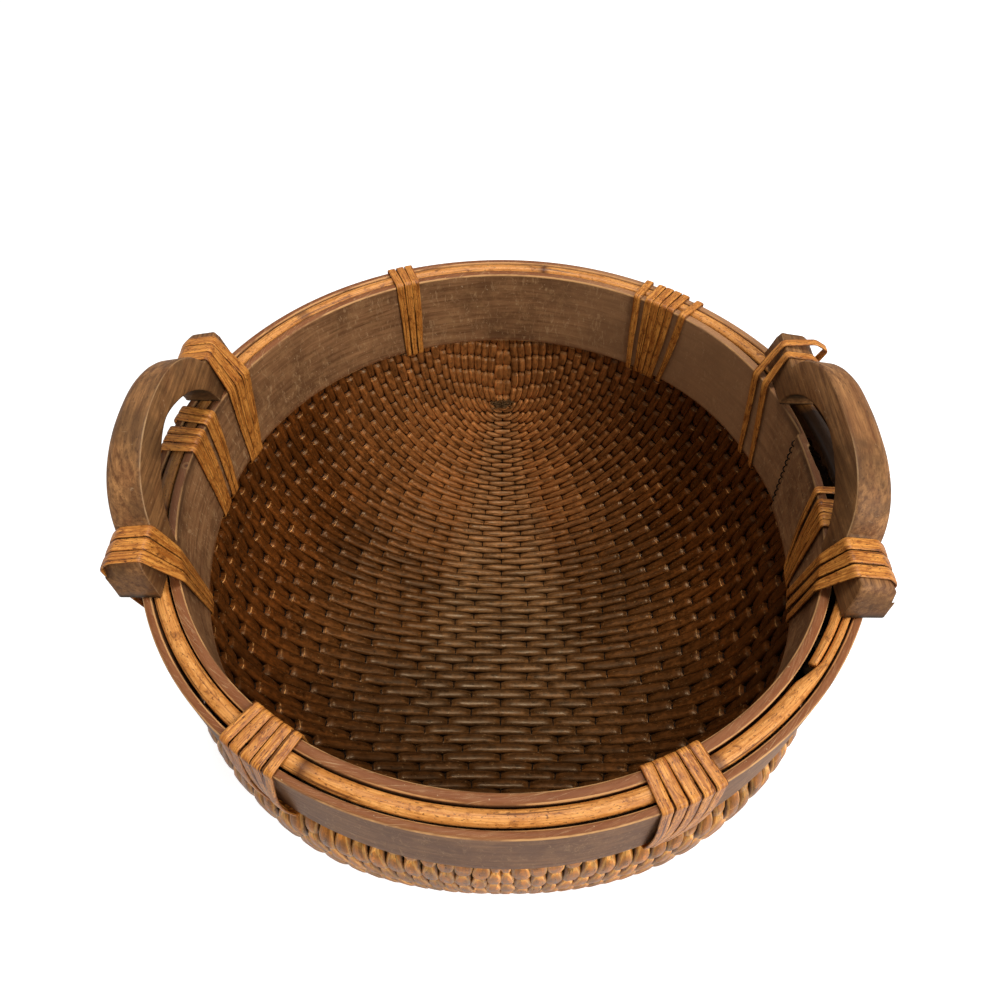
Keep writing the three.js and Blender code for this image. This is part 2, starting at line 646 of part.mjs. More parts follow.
function handleGeometry(handle) {
  const { side, from, to, footHeight, middle } = handle;
  const right = (points) => points.map(([along, height]) => [middle + along, height]);
  const left = (points) => points.map(([along, height]) => [middle - along, height]).reverse();
  const arch = archLine(handle.arch, footHeight, 9);
  const opening = archLine(handle.opening, 0, 9);
  const top = [
    [to - FOOT_BEVEL / 2, footHeight - FOOT_BEVEL],
    [to - FOOT_BEVEL, footHeight],
    ...right(arch),
    ...left(arch.slice(0, -1)),
    [from + FOOT_BEVEL, footHeight],
    [from + FOOT_BEVEL / 2, footHeight - FOOT_BEVEL],
  ];
  const bottom = [
    [from, 0],
    ...left(opening).reverse(),
    ...right(opening.slice(0, -1)).reverse(),
    [to, 0],
  ];
  const outline = [...top, ...bottom];
  if (side < 0) outline.reverse();
  const section = (across, drop) =>
    outline.map(([along, height]) => {
      const isTop = top.some(([y, z]) => y === along && z === height);
      return handlePoint(handle, along, height - (isTop ? drop : 0), across);
    });
  const rings = [
    section(0, 0),
    section(HANDLE_WIDTH - HANDLE_CHAMFER_WIDTH, HANDLE_TOP_FALL),
    section(HANDLE_WIDTH, HANDLE_TOP_FALL + HANDLE_CHAMFER_HEIGHT),
  ];
  return loft(rings, outline.map(([along, height]) => new THREE.Vector2(along, height)));
}

// Assembly
const basket = new THREE.Group();

function add(name, geometry, material) {
  const mesh = new THREE.Mesh(geometry, material);
  mesh.name = name;
  basket.add(mesh);
  return mesh;
}

add("woven_bowl", bowlGeometry(), willow);
add("inner_hoop", innerHoopGeometry(), bentwood);
add("outer_hoop", outerHoopGeometry(), bentwood);
add("cane_filler", caneGeometry(), peeledCane);
add("seam_stitching", seamRod(THREAD_RADIUS, 0), hempThread);
add("right_handle", handleGeometry(RIGHT_HANDLE), carvedWood);
add("left_handle", handleGeometry(LEFT_HANDLE), carvedWood);
for (const item of windings) add(item.name, windingGeometry(item), splitRattan);

export default basket;
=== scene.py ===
import math
import random

import bpy
import numpy as np
from mathutils import Matrix, Vector, noise


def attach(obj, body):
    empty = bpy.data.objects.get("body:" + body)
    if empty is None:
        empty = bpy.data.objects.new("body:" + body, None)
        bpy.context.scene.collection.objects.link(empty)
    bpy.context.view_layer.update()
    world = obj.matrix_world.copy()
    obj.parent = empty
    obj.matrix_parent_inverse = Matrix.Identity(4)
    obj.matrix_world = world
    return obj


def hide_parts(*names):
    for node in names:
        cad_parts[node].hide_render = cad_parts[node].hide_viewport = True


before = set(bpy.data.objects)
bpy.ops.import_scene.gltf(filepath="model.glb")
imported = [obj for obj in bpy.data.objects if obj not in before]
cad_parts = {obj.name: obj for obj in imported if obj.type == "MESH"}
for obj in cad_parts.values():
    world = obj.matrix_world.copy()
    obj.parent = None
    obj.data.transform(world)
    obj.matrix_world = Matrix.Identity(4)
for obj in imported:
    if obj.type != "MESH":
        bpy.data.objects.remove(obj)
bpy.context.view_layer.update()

# Camera, light and floor
# A camera 0.45 m from the middle of the rim, looking 51 degrees down across it, and a white ground with
# soft light from a ceiling panel, a window and from all round.
CAMERA_PLACE = Vector((-0.0017, -0.2953, 0.5950))
LOOK_DOWN = math.radians(51.33)
CAMERA_ROLL = math.radians(0.40)
LENS_MM = 27.04
SENSOR_MM = 36
ROUND_LIGHT = 0.36  # from all round
FLOOR_GLOW = 0.64  # of the floor where the camera sees it, on top of the light on it


def linear(hex_colour):
    """An sRGB hex colour such as "8a5528" as linear red, green, blue and alpha."""
    parts = [int(hex_colour[i:i + 2], 16) / 255 for i in (0, 2, 4)]
    return tuple(p / 12.92 if p <= 0.04045 else ((p + 0.055) / 1.055) ** 2.4 for p in parts) + (1,)


def add_node(tree, kind, inputs=None, **settings):
    """Adds a node with its settings. Each input is given a value, a socket, or a node's first output."""
    made = tree.nodes.new(kind)
    for name, value in settings.items():
        setattr(made, name, value)
    for socket, value in (inputs or {}).items():
        if isinstance(value, bpy.types.Node):
            value = value.outputs[0]
        if isinstance(value, bpy.types.NodeSocket):
            tree.links.new(value, made.inputs[socket])
        else:
            made.inputs[socket].default_value = value
    return made


def reckon(tree, operation, *values):
    """Blender's Math node on one to three values."""
    return add_node(tree, "ShaderNodeMath", dict(enumerate(values)), operation=operation)


def product(tree, first, *others):
    """All the values multiplied, from the left."""
    for other in others:
        first = reckon(tree, "MULTIPLY", first, other)
    return first


def reckon_vectors(tree, operation, first, second):
    """Blender's Vector Math node on two vectors, or on a vector and a number to scale it by."""
    second_socket = "Scale" if operation == "SCALE" else 1
    return add_node(tree, "ShaderNodeVectorMath", {0: first, second_socket: second}, operation=operation)


def axes(tree, vector):
    """The three numbers of a vector."""
    return add_node(tree, "ShaderNodeSeparateXYZ", {0: vector}).outputs


def step_between(tree, value, low, high, to_high=1.0, to_low=0.0):
    """A value that goes from to_low to to_high as another goes from low to high, and stops there."""
    return add_node(
        tree, "ShaderNodeMapRange",
        {"Value": value, "From Min": low, "From Max": high, "To Min": to_low, "To Max": to_high},
    )


def blend(tree, factor, first, second):
    """A number between two others."""
    return add_node(tree, "ShaderNodeMix", {"Factor": factor, "A": first, "B": second}, data_type="FLOAT")


def layered(tree, below, factor, above):
    """A colour laid over another where a factor says. Each is a hex colour or comes from a node."""
    below, above = (linear(colour) if isinstance(colour, str) else colour for colour in (below, above))
    mixed = add_node(tree, "ShaderNodeMix", {"Factor": factor, "A": below, "B": above}, data_type="RGBA")
    return mixed.outputs["Result"]


def noise_texture(tree, coordinates, scale, detail=2.0, roughness=0.5, distortion=0.0):
    """Noise with scale features per metre."""
    return add_node(
        tree, "ShaderNodeTexNoise",
        {
            "Vector": coordinates, "Scale": scale, "Detail": detail, "Roughness": roughness,
            "Distortion": distortion,
        },
    )


def stretched_noise(tree, coordinates, stretch, detail=4.0, roughness=0.6, distortion=0.0):
    """Noise drawn out along the grain, with features per metre given for each direction."""
    scaled = reckon_vectors(tree, "MULTIPLY", coordinates, stretch)
    return noise_texture(tree, scaled, 1.0, detail, roughness, distortion)


def attribute(tree, name, output="Fac"):
    """What a mesh says of itself under this name."""
    return add_node(tree, "ShaderNodeAttribute", attribute_name=name).outputs[output]


def finish_material(tree, colour, roughness, relief, specular, **others):
    """Ends a material's tree in one surface."""
    inputs = {"Base Color": colour, "Roughness": roughness, "Normal": relief, "Specular IOR Level": specular}
    inputs.update({name.replace("_", " "): value for name, value in others.items()})
    surface = add_node(tree, "ShaderNodeBsdfPrincipled", inputs)
    add_node(tree, "ShaderNodeOutputMaterial", {"Surface": surface})


def empty_material(name):
    """A material with nothing in its node tree."""
    material = bpy.data.materials.new(name)
    material.use_nodes = True
    material.node_tree.nodes.clear()
    return material


scene = bpy.context.scene
scene.view_settings.view_transform = "Standard"

forward = Vector((0, math.cos(LOOK_DOWN), -math.sin(LOOK_DOWN)))
level_right = Vector((1, 0, 0))
level_up = level_right.cross(forward)
camera_right = level_right * math.cos(CAMERA_ROLL) + level_up * math.sin(CAMERA_ROLL)
camera_up = level_up * math.cos(CAMERA_ROLL) - level_right * math.sin(CAMERA_ROLL)
camera = bpy.data.objects.new("camera", bpy.data.cameras.new("camera"))
camera.data.lens = LENS_MM
camera.data.sensor_width = SENSOR_MM
camera.data.clip_start = 0.01
camera.matrix_world = Matrix.Translation(CAMERA_PLACE) @ Matrix(
    (camera_right, camera_up, -forward)
).transposed().to_4x4()
scene.collection.objects.link(camera)
scene.camera = camera


def seen_by_camera(tree):
    """1 for rays that the camera sends, also through something clear, and 0 for the rest."""
    rays = add_node(tree, "ShaderNodeLightPath").outputs
    return reckon(tree, "MAXIMUM", rays["Is Camera Ray"], rays["Is Transmission Ray"])


world = bpy.data.worlds.new("studio")
scene.world = world
world.use_nodes = True
world.node_tree.nodes.clear()
around = add_node(world.node_tree, "ShaderNodeBackground", {"Color": (1, 1, 1, 1), "Strength": ROUND_LIGHT})
backdrop = add_node(world.node_tree, "ShaderNodeBackground", {"Color": (1, 1, 1, 1), "Strength": 1.0})
shown = add_node(
    world.node_tree, "ShaderNodeMixShader", {0: seen_by_camera(world.node_tree), 1: around, 2: backdrop}
)
add_node(world.node_tree, "ShaderNodeOutputWorld", {"Surface": shown})


def area_light(name, place, size, power):
    """A square soft light that faces the middle of the rim."""
    light = bpy.data.objects.new(name, bpy.data.lights.new(name, "AREA"))
    light.data.size = size
    light.data.energy = power
    light.location = place
    light.rotation_euler = (Vector((0, 0, 0.2)) - Vector(place)).to_track_quat("-Z", "Y").to_euler()
    scene.collection.objects.link(light)


area_light("ceiling_panel", (0.03, 0.15, 1.6), 0.32, 10.5)
area_light("window", (1.15, -1.05, 1.25), 0.9, 22)

floor_mesh = bpy.data.meshes.new("floor")
floor_mesh.from_pydata([(-4, -4, 0), (4, -4, 0), (4, 4, 0), (-4, 4, 0)], [], [(0, 1, 2, 3)])
floor = bpy.data.objects.new("floor", floor_mesh)
scene.collection.objects.link(floor)
white_ground = empty_material("white_ground")
tree = white_ground.node_tree
paper = add_node(tree, "ShaderNodeBsdfDiffuse", {"Color": (0.85, 0.85, 0.85, 1)})
lift = reckon(tree, "MULTIPLY", seen_by_camera(tree), FLOOR_GLOW)
glow = add_node(tree, "ShaderNodeEmission", {"Color": (1, 1, 1, 1), "Strength": lift})
lit_paper = add_node(tree, "ShaderNodeAddShader", {0: paper, 1: glow})
add_node(tree, "ShaderNodeOutputMaterial", {"Surface": lit_paper})
floor_mesh.materials.append(white_ground)

# Woven bowl
# Split willow rods with hemp thread woven across them. The rods lie in long U's round a pole in the back
# wall and another in the front wall, straight across the floor between them, and the thread crosses each.
RIM_HEIGHT = 0.26
BELLY_RADIUS = 0.2042  # to the middle of the wall
BELLY_HEIGHT = 0.186
BOWL_FULLNESS = 2.6
WALL_THICKNESS = 0.0096
HOOP_WALL_RADIUS = 0.2007
HOOP_FOOT = 0.203
INNER_HOOP_FOOT = 0.197
ROD_END_HEIGHT = 0.236  # hidden between the hoops
POLE_HEIGHT = 0.119
BACK_RODS = 49
FRONT_RODS = 36
SIDE_THREADS = 16  # from the middle line to the hoop
LEAST_THREAD_SPACING = 0.008
LEAST_FRONT_SPACING = 0.0125
RIGHT_FLATTENING = 0.043  # how much narrower the rim is under each handle
LEFT_FLATTENING = 0.022
FLATTENED_LENGTH = 0.1
FLATTENED_FROM = 0.15  # height from which the bowl has all of it
GAP_SHARE = 0.049  # by which the wall and outer hoop stand off from the inner hoop at the right
BELLY_SHARE = 0.026  # by which the belly stands out at the front's two corners
THREAD_RADIUS = 0.0007
THREAD_DRIFT = 0.45  # the slow wander of a thread, as a share of the threads' spacing
THREAD_SLACK = 0.11  # its unevenness from rod to rod

quarter = np.linspace(0, math.pi / 2, 300)
wall_radius = np.append(
    (BELLY_RADIUS * np.cos(quarter) ** (2 / BOWL_FULLNESS))[::-1],
    [HOOP_WALL_RADIUS + 0.7 * (BELLY_RADIUS - HOOP_WALL_RADIUS), HOOP_WALL_RADIUS, HOOP_WALL_RADIUS],
)
belly_depth = BELLY_HEIGHT - WALL_THICKNESS / 2
wall_height = np.append(
    (BELLY_HEIGHT - belly_depth * np.sin(quarter) ** (2 / BOWL_FULLNESS))[::-1],
    [(BELLY_HEIGHT + HOOP_FOOT) / 2, HOOP_FOOT, RIM_HEIGHT],
)
wall_radius[0] = 0
wall_way = np.append(0, np.cumsum(np.hypot(np.diff(wall_radius), np.diff(wall_height))))
wall_slope = np.arctan2(np.gradient(wall_height, wall_way), np.gradient(wall_radius, wall_way))
pole = np.interp(POLE_HEIGHT, wall_height, wall_way)
hoop_way = np.interp(INNER_HOOP_FOOT, wall_height, wall_way)
end_way = np.interp(ROD_END_HEIGHT, wall_height, wall_way)


def flattened(points):
    """Moves points in as the rim is a little flattened under the handles, more on the right, where a gap
    has opened between the inner hoop and the wall's edge, and out where the belly is fullest."""
    points = np.array(points, float)
    radius = np.maximum(np.hypot(points[..., 0], points[..., 1]), 1e-9)
    apart = np.clip((radius - 0.1960) / 0.0012, 0, 1) * np.clip((points[..., 2] - 0.135) / 0.055, 0, 1)
    share = np.where(points[..., 0] > 0, RIGHT_FLATTENING - GAP_SHARE * apart, LEFT_FLATTENING)
    forward = np.clip(-points[..., 1] / radius, 0, 1)
    corner = 8 * (points[..., 0] / radius) ** 2 * forward ** 4
    up_to_belly = np.clip((points[..., 2] - 0.02) / 0.1, 0, 1)
    below_hoop = np.clip((0.201 - points[..., 2]) / 0.018, 0, 1)
    fuller = BELLY_SHARE * corner * up_to_belly ** 2 * (3 - 2 * up_to_belly) * below_hoop * (2 - below_hoop)
    points[..., :2] *= 1 + fuller[..., None]
    rise = np.clip(points[..., 2] / FLATTENED_FROM, 0, 1)
    near_middle = np.exp(-((points[..., 1] / FLATTENED_LENGTH) ** 2))
    points[..., 0] *= 1 - share * near_middle * rise * rise * (3 - 2 * rise)
    return points


def on_wall(east, north):
    """Places and inward normals on the bowl's middle surface, spread flat from the floor's centre and
    still round at the rim."""
    way = np.maximum(np.hypot(east, north), 1e-9)
    side = np.stack([east / way, north / way], -1)
    radius = np.interp(way, wall_way, wall_radius)
    height = np.interp(way, wall_way, wall_height)
    slope = np.interp(way, wall_way, wall_slope)
    places = np.concatenate([side * radius[..., None], height[..., None]], -1)
    normals = np.concatenate([-side * np.sin(slope)[..., None], np.cos(slope)[..., None]], -1)
    return places, normals


def rod_line(index, share):
    """A rod's right arm on the flat: index counts rods from the middle to the back pole, or down from
    the middle to the front pole, and share goes from 0 on the middle line to 1 at the hoops' foot."""
    back = index >= 0
    count = BACK_RODS if back else FRONT_RODS
    part = min(abs(index) / count, 0.9995)
    if back:
        crossing = 1.42 * part - 0.62 * part ** 2 + 0.20 * part ** 3
    else:
        crossing = 1.12 * part + 0.20 * part ** 2 - 0.32 * part ** 3
    azimuth = math.pi / 2 * (1 - part)
    east = hoop_way * math.sin(azimuth)
    north = hoop_way * math.cos(azimuth)
    near = math.hypot(east, north - pole)
    far = math.hypot(east, north + pole)
    stretch = math.acosh((near + far) / (2 * pole)) * share
    turn_at_hoop = math.acos((far - near) / (2 * pole))
    turn_at_middle = math.acos(crossing)
    turn = turn_at_middle + (turn_at_hoop - turn_at_middle) * share ** 1.5
    sign = 1 if back else -1
    return pole * np.sinh(stretch) * np.sin(turn), sign * pole * np.cosh(stretch) * np.cos(turn)


chance = random.Random(4)


def arm(index):
    """One arm of a rod: its shares along it, places, normals, width, length, and count of threads."""
    share = np.linspace(0, 1.35, 700)
    east, north = rod_line(index, share)
    within = np.hypot(east, north) <= end_way
    share, east, north = share[within], east[within], north[within]
    places, normals = on_wall(east, north)
    before, _ = on_wall(*rod_line(index - 0.5, share))
    after, _ = on_wall(*rod_line(index + 0.5, share))
    tangent = np.gradient(places, axis=0)
    tangent /= np.linalg.norm(tangent, axis=1)[:, None]
    across = np.cross(normals, tangent)
    across /= np.linalg.norm(across, axis=1)[:, None]
    width = np.abs(np.einsum("ij,ij->i", after - before, across))
    length = np.append(0, np.cumsum(np.linalg.norm(np.diff(places, axis=0), axis=1)))
    hoop_length = np.interp(1, share, length)
    part = abs(index) / (BACK_RODS if index >= 0 else FRONT_RODS)
    threads = SIDE_THREADS
    if index < 0:
        step = min(-index / 15, 1)
        threads -= 2.5 * step * step * (3 - 2 * step)
    least = LEAST_THREAD_SPACING if index >= 0 else LEAST_FRONT_SPACING
    threads = min(threads, hoop_length / least)
    bend = 0.13 - 0.22 * part
    along = length / hoop_length
    count = threads * (along * (1 + bend) - bend * along ** 2)
    drift = np.array([noise.noise(Vector((place[0] * 18, place[1] * 18, 9.0))) for place in places])
    slack = THREAD_DRIFT * drift + chance.uniform(-THREAD_SLACK, THREAD_SLACK)
    count = count + slack * np.clip(count, 0, 1)
    return {
        "places": places, "normals": normals, "across": across, "width": width, "length": length,
        "count": count
    }


def at_count(line, name, counts):
    """One of an arm's values at these counts of threads."""
    values = line[name]
    if values.ndim == 1:
        return np.interp(counts, line["count"], values)
    return np.stack([np.interp(counts, line["count"], values[:, k]) for k in range(3)], -1)


def mirrored(vectors):
    """The same on the left side."""
    return vectors * np.array([-1, 1, 1])


ROD_STEPS = (0, 0.06, 0.25, 0.5, 0.75, 0.94)  # parts of a thread's spacing at which a rod has a section
ROD_WOBBLE = 0.06  # sideways, as a share of a rod's width
arms = {index: arm(index) for index in range(1 - FRONT_RODS, BACK_RODS)}


def sections_along(index, first):
    """The counts of threads, from first on, at which an arm has a section, and its values there."""
    line = arms[index]
    last = line["count"][-1]
    counts = np.array([whole + part for whole in range(int(last) + 1) for part in ROD_STEPS])
    counts = np.append(counts[(counts >= first) & (counts < last)], last)
    return counts, {name: at_count(line, name, counts) for name in line if name != "count"}


def rod_rows(index):
    """A whole rod from the left rim to the right rim, as rows of attributes."""
    counts, right = sections_along(index, 0)
    rows = {
        "places": flattened(np.concatenate([mirrored(right["places"])[:0:-1], right["places"]])),
        "normal": np.concatenate([mirrored(right["normals"])[:0:-1], right["normals"]]),
        "across": np.concatenate([mirrored(right["across"])[:0:-1], right["across"]]),
        "width": np.concatenate([right["width"][:0:-1], right["width"]]),
        "along": np.concatenate([-right["length"][:0:-1], right["length"]]),
    }
    signed = np.concatenate([-counts[:0:-1], counts])
    rows["phase"] = np.abs(signed) + (index % 2)
    wobble = np.array([
        noise.noise(Vector((place[0] * 60, place[1] * 60, index * 3.7))) for place in rows["places"]
    ])
    rows["places"] = rows["places"] + rows["across"] * (wobble * ROD_WOBBLE * rows["width"])[:, None]
    rows["width"] = rows["width"] * (1.05 + 0.1 * np.roll(wobble, 7))
    for side, shift in (("inside_tone", 1), ("outside_tone", 0)):
        brick = np.floor((np.abs(signed) + index + shift) / 2) * np.where(signed < 0, -1, 1)
        tones = {key: chance.random() for key in sorted(set(brick))}
        rows[side] = np.array([tones[key] for key in brick])
    rows["rod_tone"] = np.full(len(signed), chance.random())
    return rows


def line_mesh(name, lines):
    """A mesh of open lines whose points carry the attributes in the rows of each line."""
    mesh = bpy.data.meshes.new(name)
    points = np.concatenate([line["places"] for line in lines])
    edges = []
    start = 0
    for line in lines:
        count = len(line["places"])
        edges += [(start + i, start + i + 1) for i in range(count - 1)]
        start += count
    mesh.from_pydata(points.tolist(), edges, [])
    for key in lines[0]:
        if key == "places":
            continue
        values = np.concatenate([line[key] for line in lines])
        kind = "FLOAT" if values.ndim == 1 else "FLOAT_VECTOR"
        field = "value" if values.ndim == 1 else "vector"
        mesh.attributes.new(key, kind, "POINT").data.foreach_set(field, values.astype(np.float32).ravel())
    return mesh


def new_tree(name, inputs):
    """A geometry node tree with a mesh in and out, and named inputs given as (name, kind, default)."""
    tree = bpy.data.node_groups.new(name, "GeometryNodeTree")
    tree.interface.new_socket("Geometry", in_out="INPUT", socket_type="NodeSocketGeometry")
    tree.interface.new_socket("Geometry", in_out="OUTPUT", socket_type="NodeSocketGeometry")
    for label, kind, default in inputs:
        socket = tree.interface.new_socket(label, in_out="INPUT", socket_type=kind)
        if default is not None:
            socket.default_value = default
    return tree, tree.nodes.new("NodeGroupInput")


def finish_tree(tree, geometry, material):
    """Ends a tree in real geometry with its material."""
    real = add_node(tree, "GeometryNodeRealizeInstances", {0: geometry})
    painted = add_node(tree, "GeometryNodeSetMaterial", {"Geometry": real, "Material": material})
    add_node(tree, "NodeGroupOutput", {0: painted})


def grown(name, mesh, tree, settings):
    """The plain mesh object that a tree makes of a mesh, with these values for its named inputs."""
    source = bpy.data.objects.new(name + "_source", mesh)
    scene.collection.objects.link(source)
    modifier = source.modifiers.new("tree", "NODES")
    modifier.node_group = tree
    for socket in tree.interface.items_tree:
        if socket.in_out == "INPUT" and socket.name in settings:
            modifier[socket.identifier] = settings[socket.name]
    evaluated = source.evaluated_get(bpy.context.evaluated_depsgraph_get())
    made = bpy.data.meshes.new_from_object(evaluated)
    made.name = name
    piece = bpy.data.objects.new(name, made)
    scene.collection.objects.link(piece)
    bpy.data.objects.remove(source)
    return piece


def stand_for(piece, slot, *nodes):
    """Says which CAD nodes a piece is shown in place of, and that it never moves; slot, what it is made of,
    is not used.
    """
    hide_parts(*nodes)
    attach(piece, "root")


def read(tree, name, kind="FLOAT"):
    """What the lines say under this name."""
    return add_node(tree, "GeometryNodeInputNamedAttribute", {"Name": name}, data_type=kind).outputs[0]


def store(tree, geometry, name, value, kind="FLOAT"):
    """Keeps a value with a geometry's points, under a name."""
    return add_node(
        tree, "GeometryNodeStoreNamedAttribute", {"Geometry": geometry, "Name": name, "Value": value},
        data_type=kind, domain="POINT",
    )


def choose(tree, switch, off, on):
    """One number or another."""
    inputs = {"Switch": switch, "False": off, "True": on}
    return add_node(tree, "GeometryNodeSwitch", inputs, input_type="FLOAT")


def swept(tree, given):
    """Sweeps a ring along the lines. Gives the mesh, and how far each of its points is to the side, with
    the ring squared off, and up."""
    lines = add_node(tree, "GeometryNodeMeshToCurve", {"Mesh": given.outputs["Geometry"]})
    lines = store(tree, lines, "middle", add_node(tree, "GeometryNodeInputPosition"), "FLOAT_VECTOR")
    ring = add_node(
        tree, "GeometryNodeCurvePrimitiveCircle", {"Resolution": given.outputs["Sides"], "Radius": 0.002}
    )
    factor = add_node(tree, "GeometryNodeSplineParameter").outputs["Factor"]
    ring = store(tree, ring, "round", factor)
    mesh = add_node(
        tree, "GeometryNodeCurveToMesh", {"Curve": lines, "Profile Curve": ring, "Fill Caps": True}
    )
    angle = reckon(tree, "MULTIPLY", read(tree, "round"), 2 * math.pi)
    side = reckon(tree, "COSINE", angle)
    size = reckon(tree, "POWER", reckon(tree, "ABSOLUTE", side), 0.6)
    side = reckon(tree, "MULTIPLY", size, reckon(tree, "SIGN", side))
    return mesh, side, reckon(tree, "SINE", angle)


def put_in_place(tree, mesh, sideways, upwards):
    """Moves the swept ring's points to their real section about the lines."""
    sideways = reckon_vectors(tree, "SCALE", read(tree, "across", "FLOAT_VECTOR"), sideways)
    upwards = reckon_vectors(tree, "SCALE", read(tree, "normal", "FLOAT_VECTOR"), upwards)
    target = reckon_vectors(tree, "ADD", read(tree, "middle", "FLOAT_VECTOR"), sideways)
    target = reckon_vectors(tree, "ADD", target, upwards)
    return add_node(tree, "GeometryNodeSetPosition", {"Geometry": mesh, "Position": target})


rod_tree, given = new_tree(
    "woven_rods",
    [
        ("Sides", "NodeSocketInt", 10),
        ("Inside Height", "NodeSocketFloat", 0.0048),
        ("Outside Height", "NodeSocketFloat", 0.0048),
        ("Floor Squareness", "NodeSocketFloat", 5.0),
        ("Tip Squareness", "NodeSocketFloat", 26.0),
        ("Tail Squareness", "NodeSocketFloat", 2.6),
        ("Outside Squareness", "NodeSocketFloat", 2.4),
        ("Floor Taper", "NodeSocketFloat", 0.42),
        ("Tip Taper", "NodeSocketFloat", 0.05),
        ("Tail Taper", "NodeSocketFloat", 0.5),
        ("Middle Taper", "NodeSocketFloat", 0.78),
        ("Outside Taper", "NodeSocketFloat", 0.5),
        ("Material", "NodeSocketMaterial", None),
    ],
)
t = rod_tree
body, side, lift = swept(t, given)
crown = reckon(t, "POWER", reckon(t, "ABSOLUTE", lift), 0.55)
inside = reckon(t, "GREATER_THAN", lift, -0.01)
phase = read(t, "phase")
inside_way = reckon(t, "PINGPONG", phase, 1.0)
outside_way = reckon(t, "SUBTRACT", 1.0, inside_way)
tip = reckon(t, "WRAP", phase, 1.0, -1.0)
at_tip = reckon(t, "GREATER_THAN", tip, 0.0)
middle_x, middle_y, middle_z = axes(t, read(t, "middle", "FLOAT_VECTOR"))
climb = step_between(t, middle_z, 0.012, 0.05)


def by_place(floor, tip_value, tail_value):
    """A value that is one thing on the floor, and on the wall another at a segment's tip and its tail."""
    return blend(t, climb, floor, choose(t, at_tip, tail_value, tip_value))


squareness = by_place(
    given.outputs["Floor Squareness"], given.outputs["Tip Squareness"], given.outputs["Tail Squareness"]
)
inside_fall = reckon(t, "POWER", inside_way, squareness)
outside_fall = reckon(t, "POWER", outside_way, given.outputs["Outside Squareness"])
inside_full = reckon(t, "POWER", reckon(t, "SUBTRACT", 1.0, inside_fall), 0.5)
rise = reckon(t, "MULTIPLY", tip, climb)
swell = reckon(t, "MULTIPLY_ADD", rise, 0.16, 0.84)
swell = reckon(t, "MULTIPLY_ADD", read(t, "inside_tone"), 0.14, swell)
swell = reckon(t, "MINIMUM", swell, 1.0)
inside_full = reckon(t, "MULTIPLY", inside_full, swell)
outside_full = reckon(t, "POWER", reckon(t, "SUBTRACT", 1.0, outside_fall), 0.7)
outside_full = reckon(t, "MULTIPLY_ADD", outside_full, 0.45, 0.55)
inside_height = reckon(t, "MULTIPLY", inside_full, given.outputs["Inside Height"])
outside_height = product(t, outside_full, given.outputs["Outside Height"], -1.0)
height = product(t, choose(t, inside, outside_height, inside_height), crown)
outside_slim = reckon(t, "POWER", outside_way, 1.8)
outside_taper = reckon(t, "MULTIPLY", outside_slim, given.outputs["Outside Taper"])
inside_slim = reckon(t, "POWER", inside_way, 2.0)
inside_taper = by_place(*(given.outputs[label + " Taper"] for label in ("Floor", "Tip", "Tail")))
central = step_between(t, reckon(t, "ABSOLUTE", middle_x), 0.034, 0.01)
backwards = step_between(t, middle_y, -0.04, 0.1)
below_pole = step_between(t, middle_z, 0.126, 0.116)
pointed = product(t, central, backwards, below_pole)
inside_taper = blend(t, pointed, inside_taper, given.outputs["Middle Taper"])
inside_taper = reckon(t, "MULTIPLY", inside_slim, inside_taper)
taper = product(t, choose(t, inside, outside_taper, inside_taper), crown)
fullness = reckon(t, "SUBTRACT", 1.0, taper)
sideways = product(t, read(t, "width"), 0.55, fullness, side)
body = put_in_place(t, body, sideways, height)
tone = choose(t, inside, read(t, "outside_tone"), read(t, "inside_tone"))
for label, value in (("crown", crown), ("inside", inside), ("tip", tip), ("tone", tone)):
    body = store(t, body, label, value)
around_rod = reckon(t, "MULTIPLY", read(t, "round"), 0.016)
grain = add_node(
    t, "ShaderNodeCombineXYZ", {"X": read(t, "along"), "Y": around_rod, "Z": read(t, "rod_tone")}
)
body = store(t, body, "grain", grain, "FLOAT_VECTOR")
finish_tree(t, body, given.outputs["Material"])

# Split willow, darkened and polished by years of use: olive brown where the rice lay, dark red brown up
# the walls, paler outside and by the back pole, with fine grain along each rod and pale tips. Painted light
# and shade lie over it. The paleness by the pole and at the tips is partly a painted highlight. A pale drop
# down the floor's middle and the rods' crowns are painted highlights. Alternate long facets of each rod are
# painted lighter and darker. Painted shade lies in the grooves between rods, on the rods' end faces, on the
# inside towards the front and the right front, and on the wall's edge between the hoops.
willow = empty_material("split_willow_polished_by_use")
t = willow.node_tree
grain_x, grain_y, grain_z = axes(t, attribute(t, "grain", "Vector"))
rod_seed = reckon(t, "MULTIPLY", grain_z, 60.0)
along = reckon(t, "MULTIPLY", grain_x, 60.0)
around_rod = reckon(t, "MULTIPLY", grain_y, 1800.0)
grain_place = add_node(t, "ShaderNodeCombineXYZ", {"X": along, "Y": around_rod, "Z": rod_seed})
fine_fibres = noise_texture(t, grain_place, 1.0, 3.0, 0.6)
broad_place = reckon_vectors(t, "MULTIPLY", grain_place, (3.0, 0.34, 1.7))
broad_fibres = noise_texture(t, broad_place, 1.0, 4.0, 0.7)
fibres = blend(t, 0.6, fine_fibres, broad_fibres)
place = add_node(t, "ShaderNodeTexCoord").outputs["Object"]
place_x, place_y, place_z = axes(t, place)
tone = attribute(t, "tone")
crown = attribute(t, "crown")
tip = attribute(t, "tip")
inside = attribute(t, "inside")
patches = noise_texture(t, place, 14.0, 3.0)
climb = step_between(t, place_z, 0.012, 0.08)
away = reckon_vectors(t, "DISTANCE", place, (0.0, 0.185, 0.115)).outputs["Value"]
# Paler round the back pole, partly a painted highlight on the rods there.
near_pole = step_between(t, away, 0.165, 0.02)
colour = layered(t, "603b1a", climb, "613310")
floor_wall = layered(t, colour, near_pole, "b4713a")
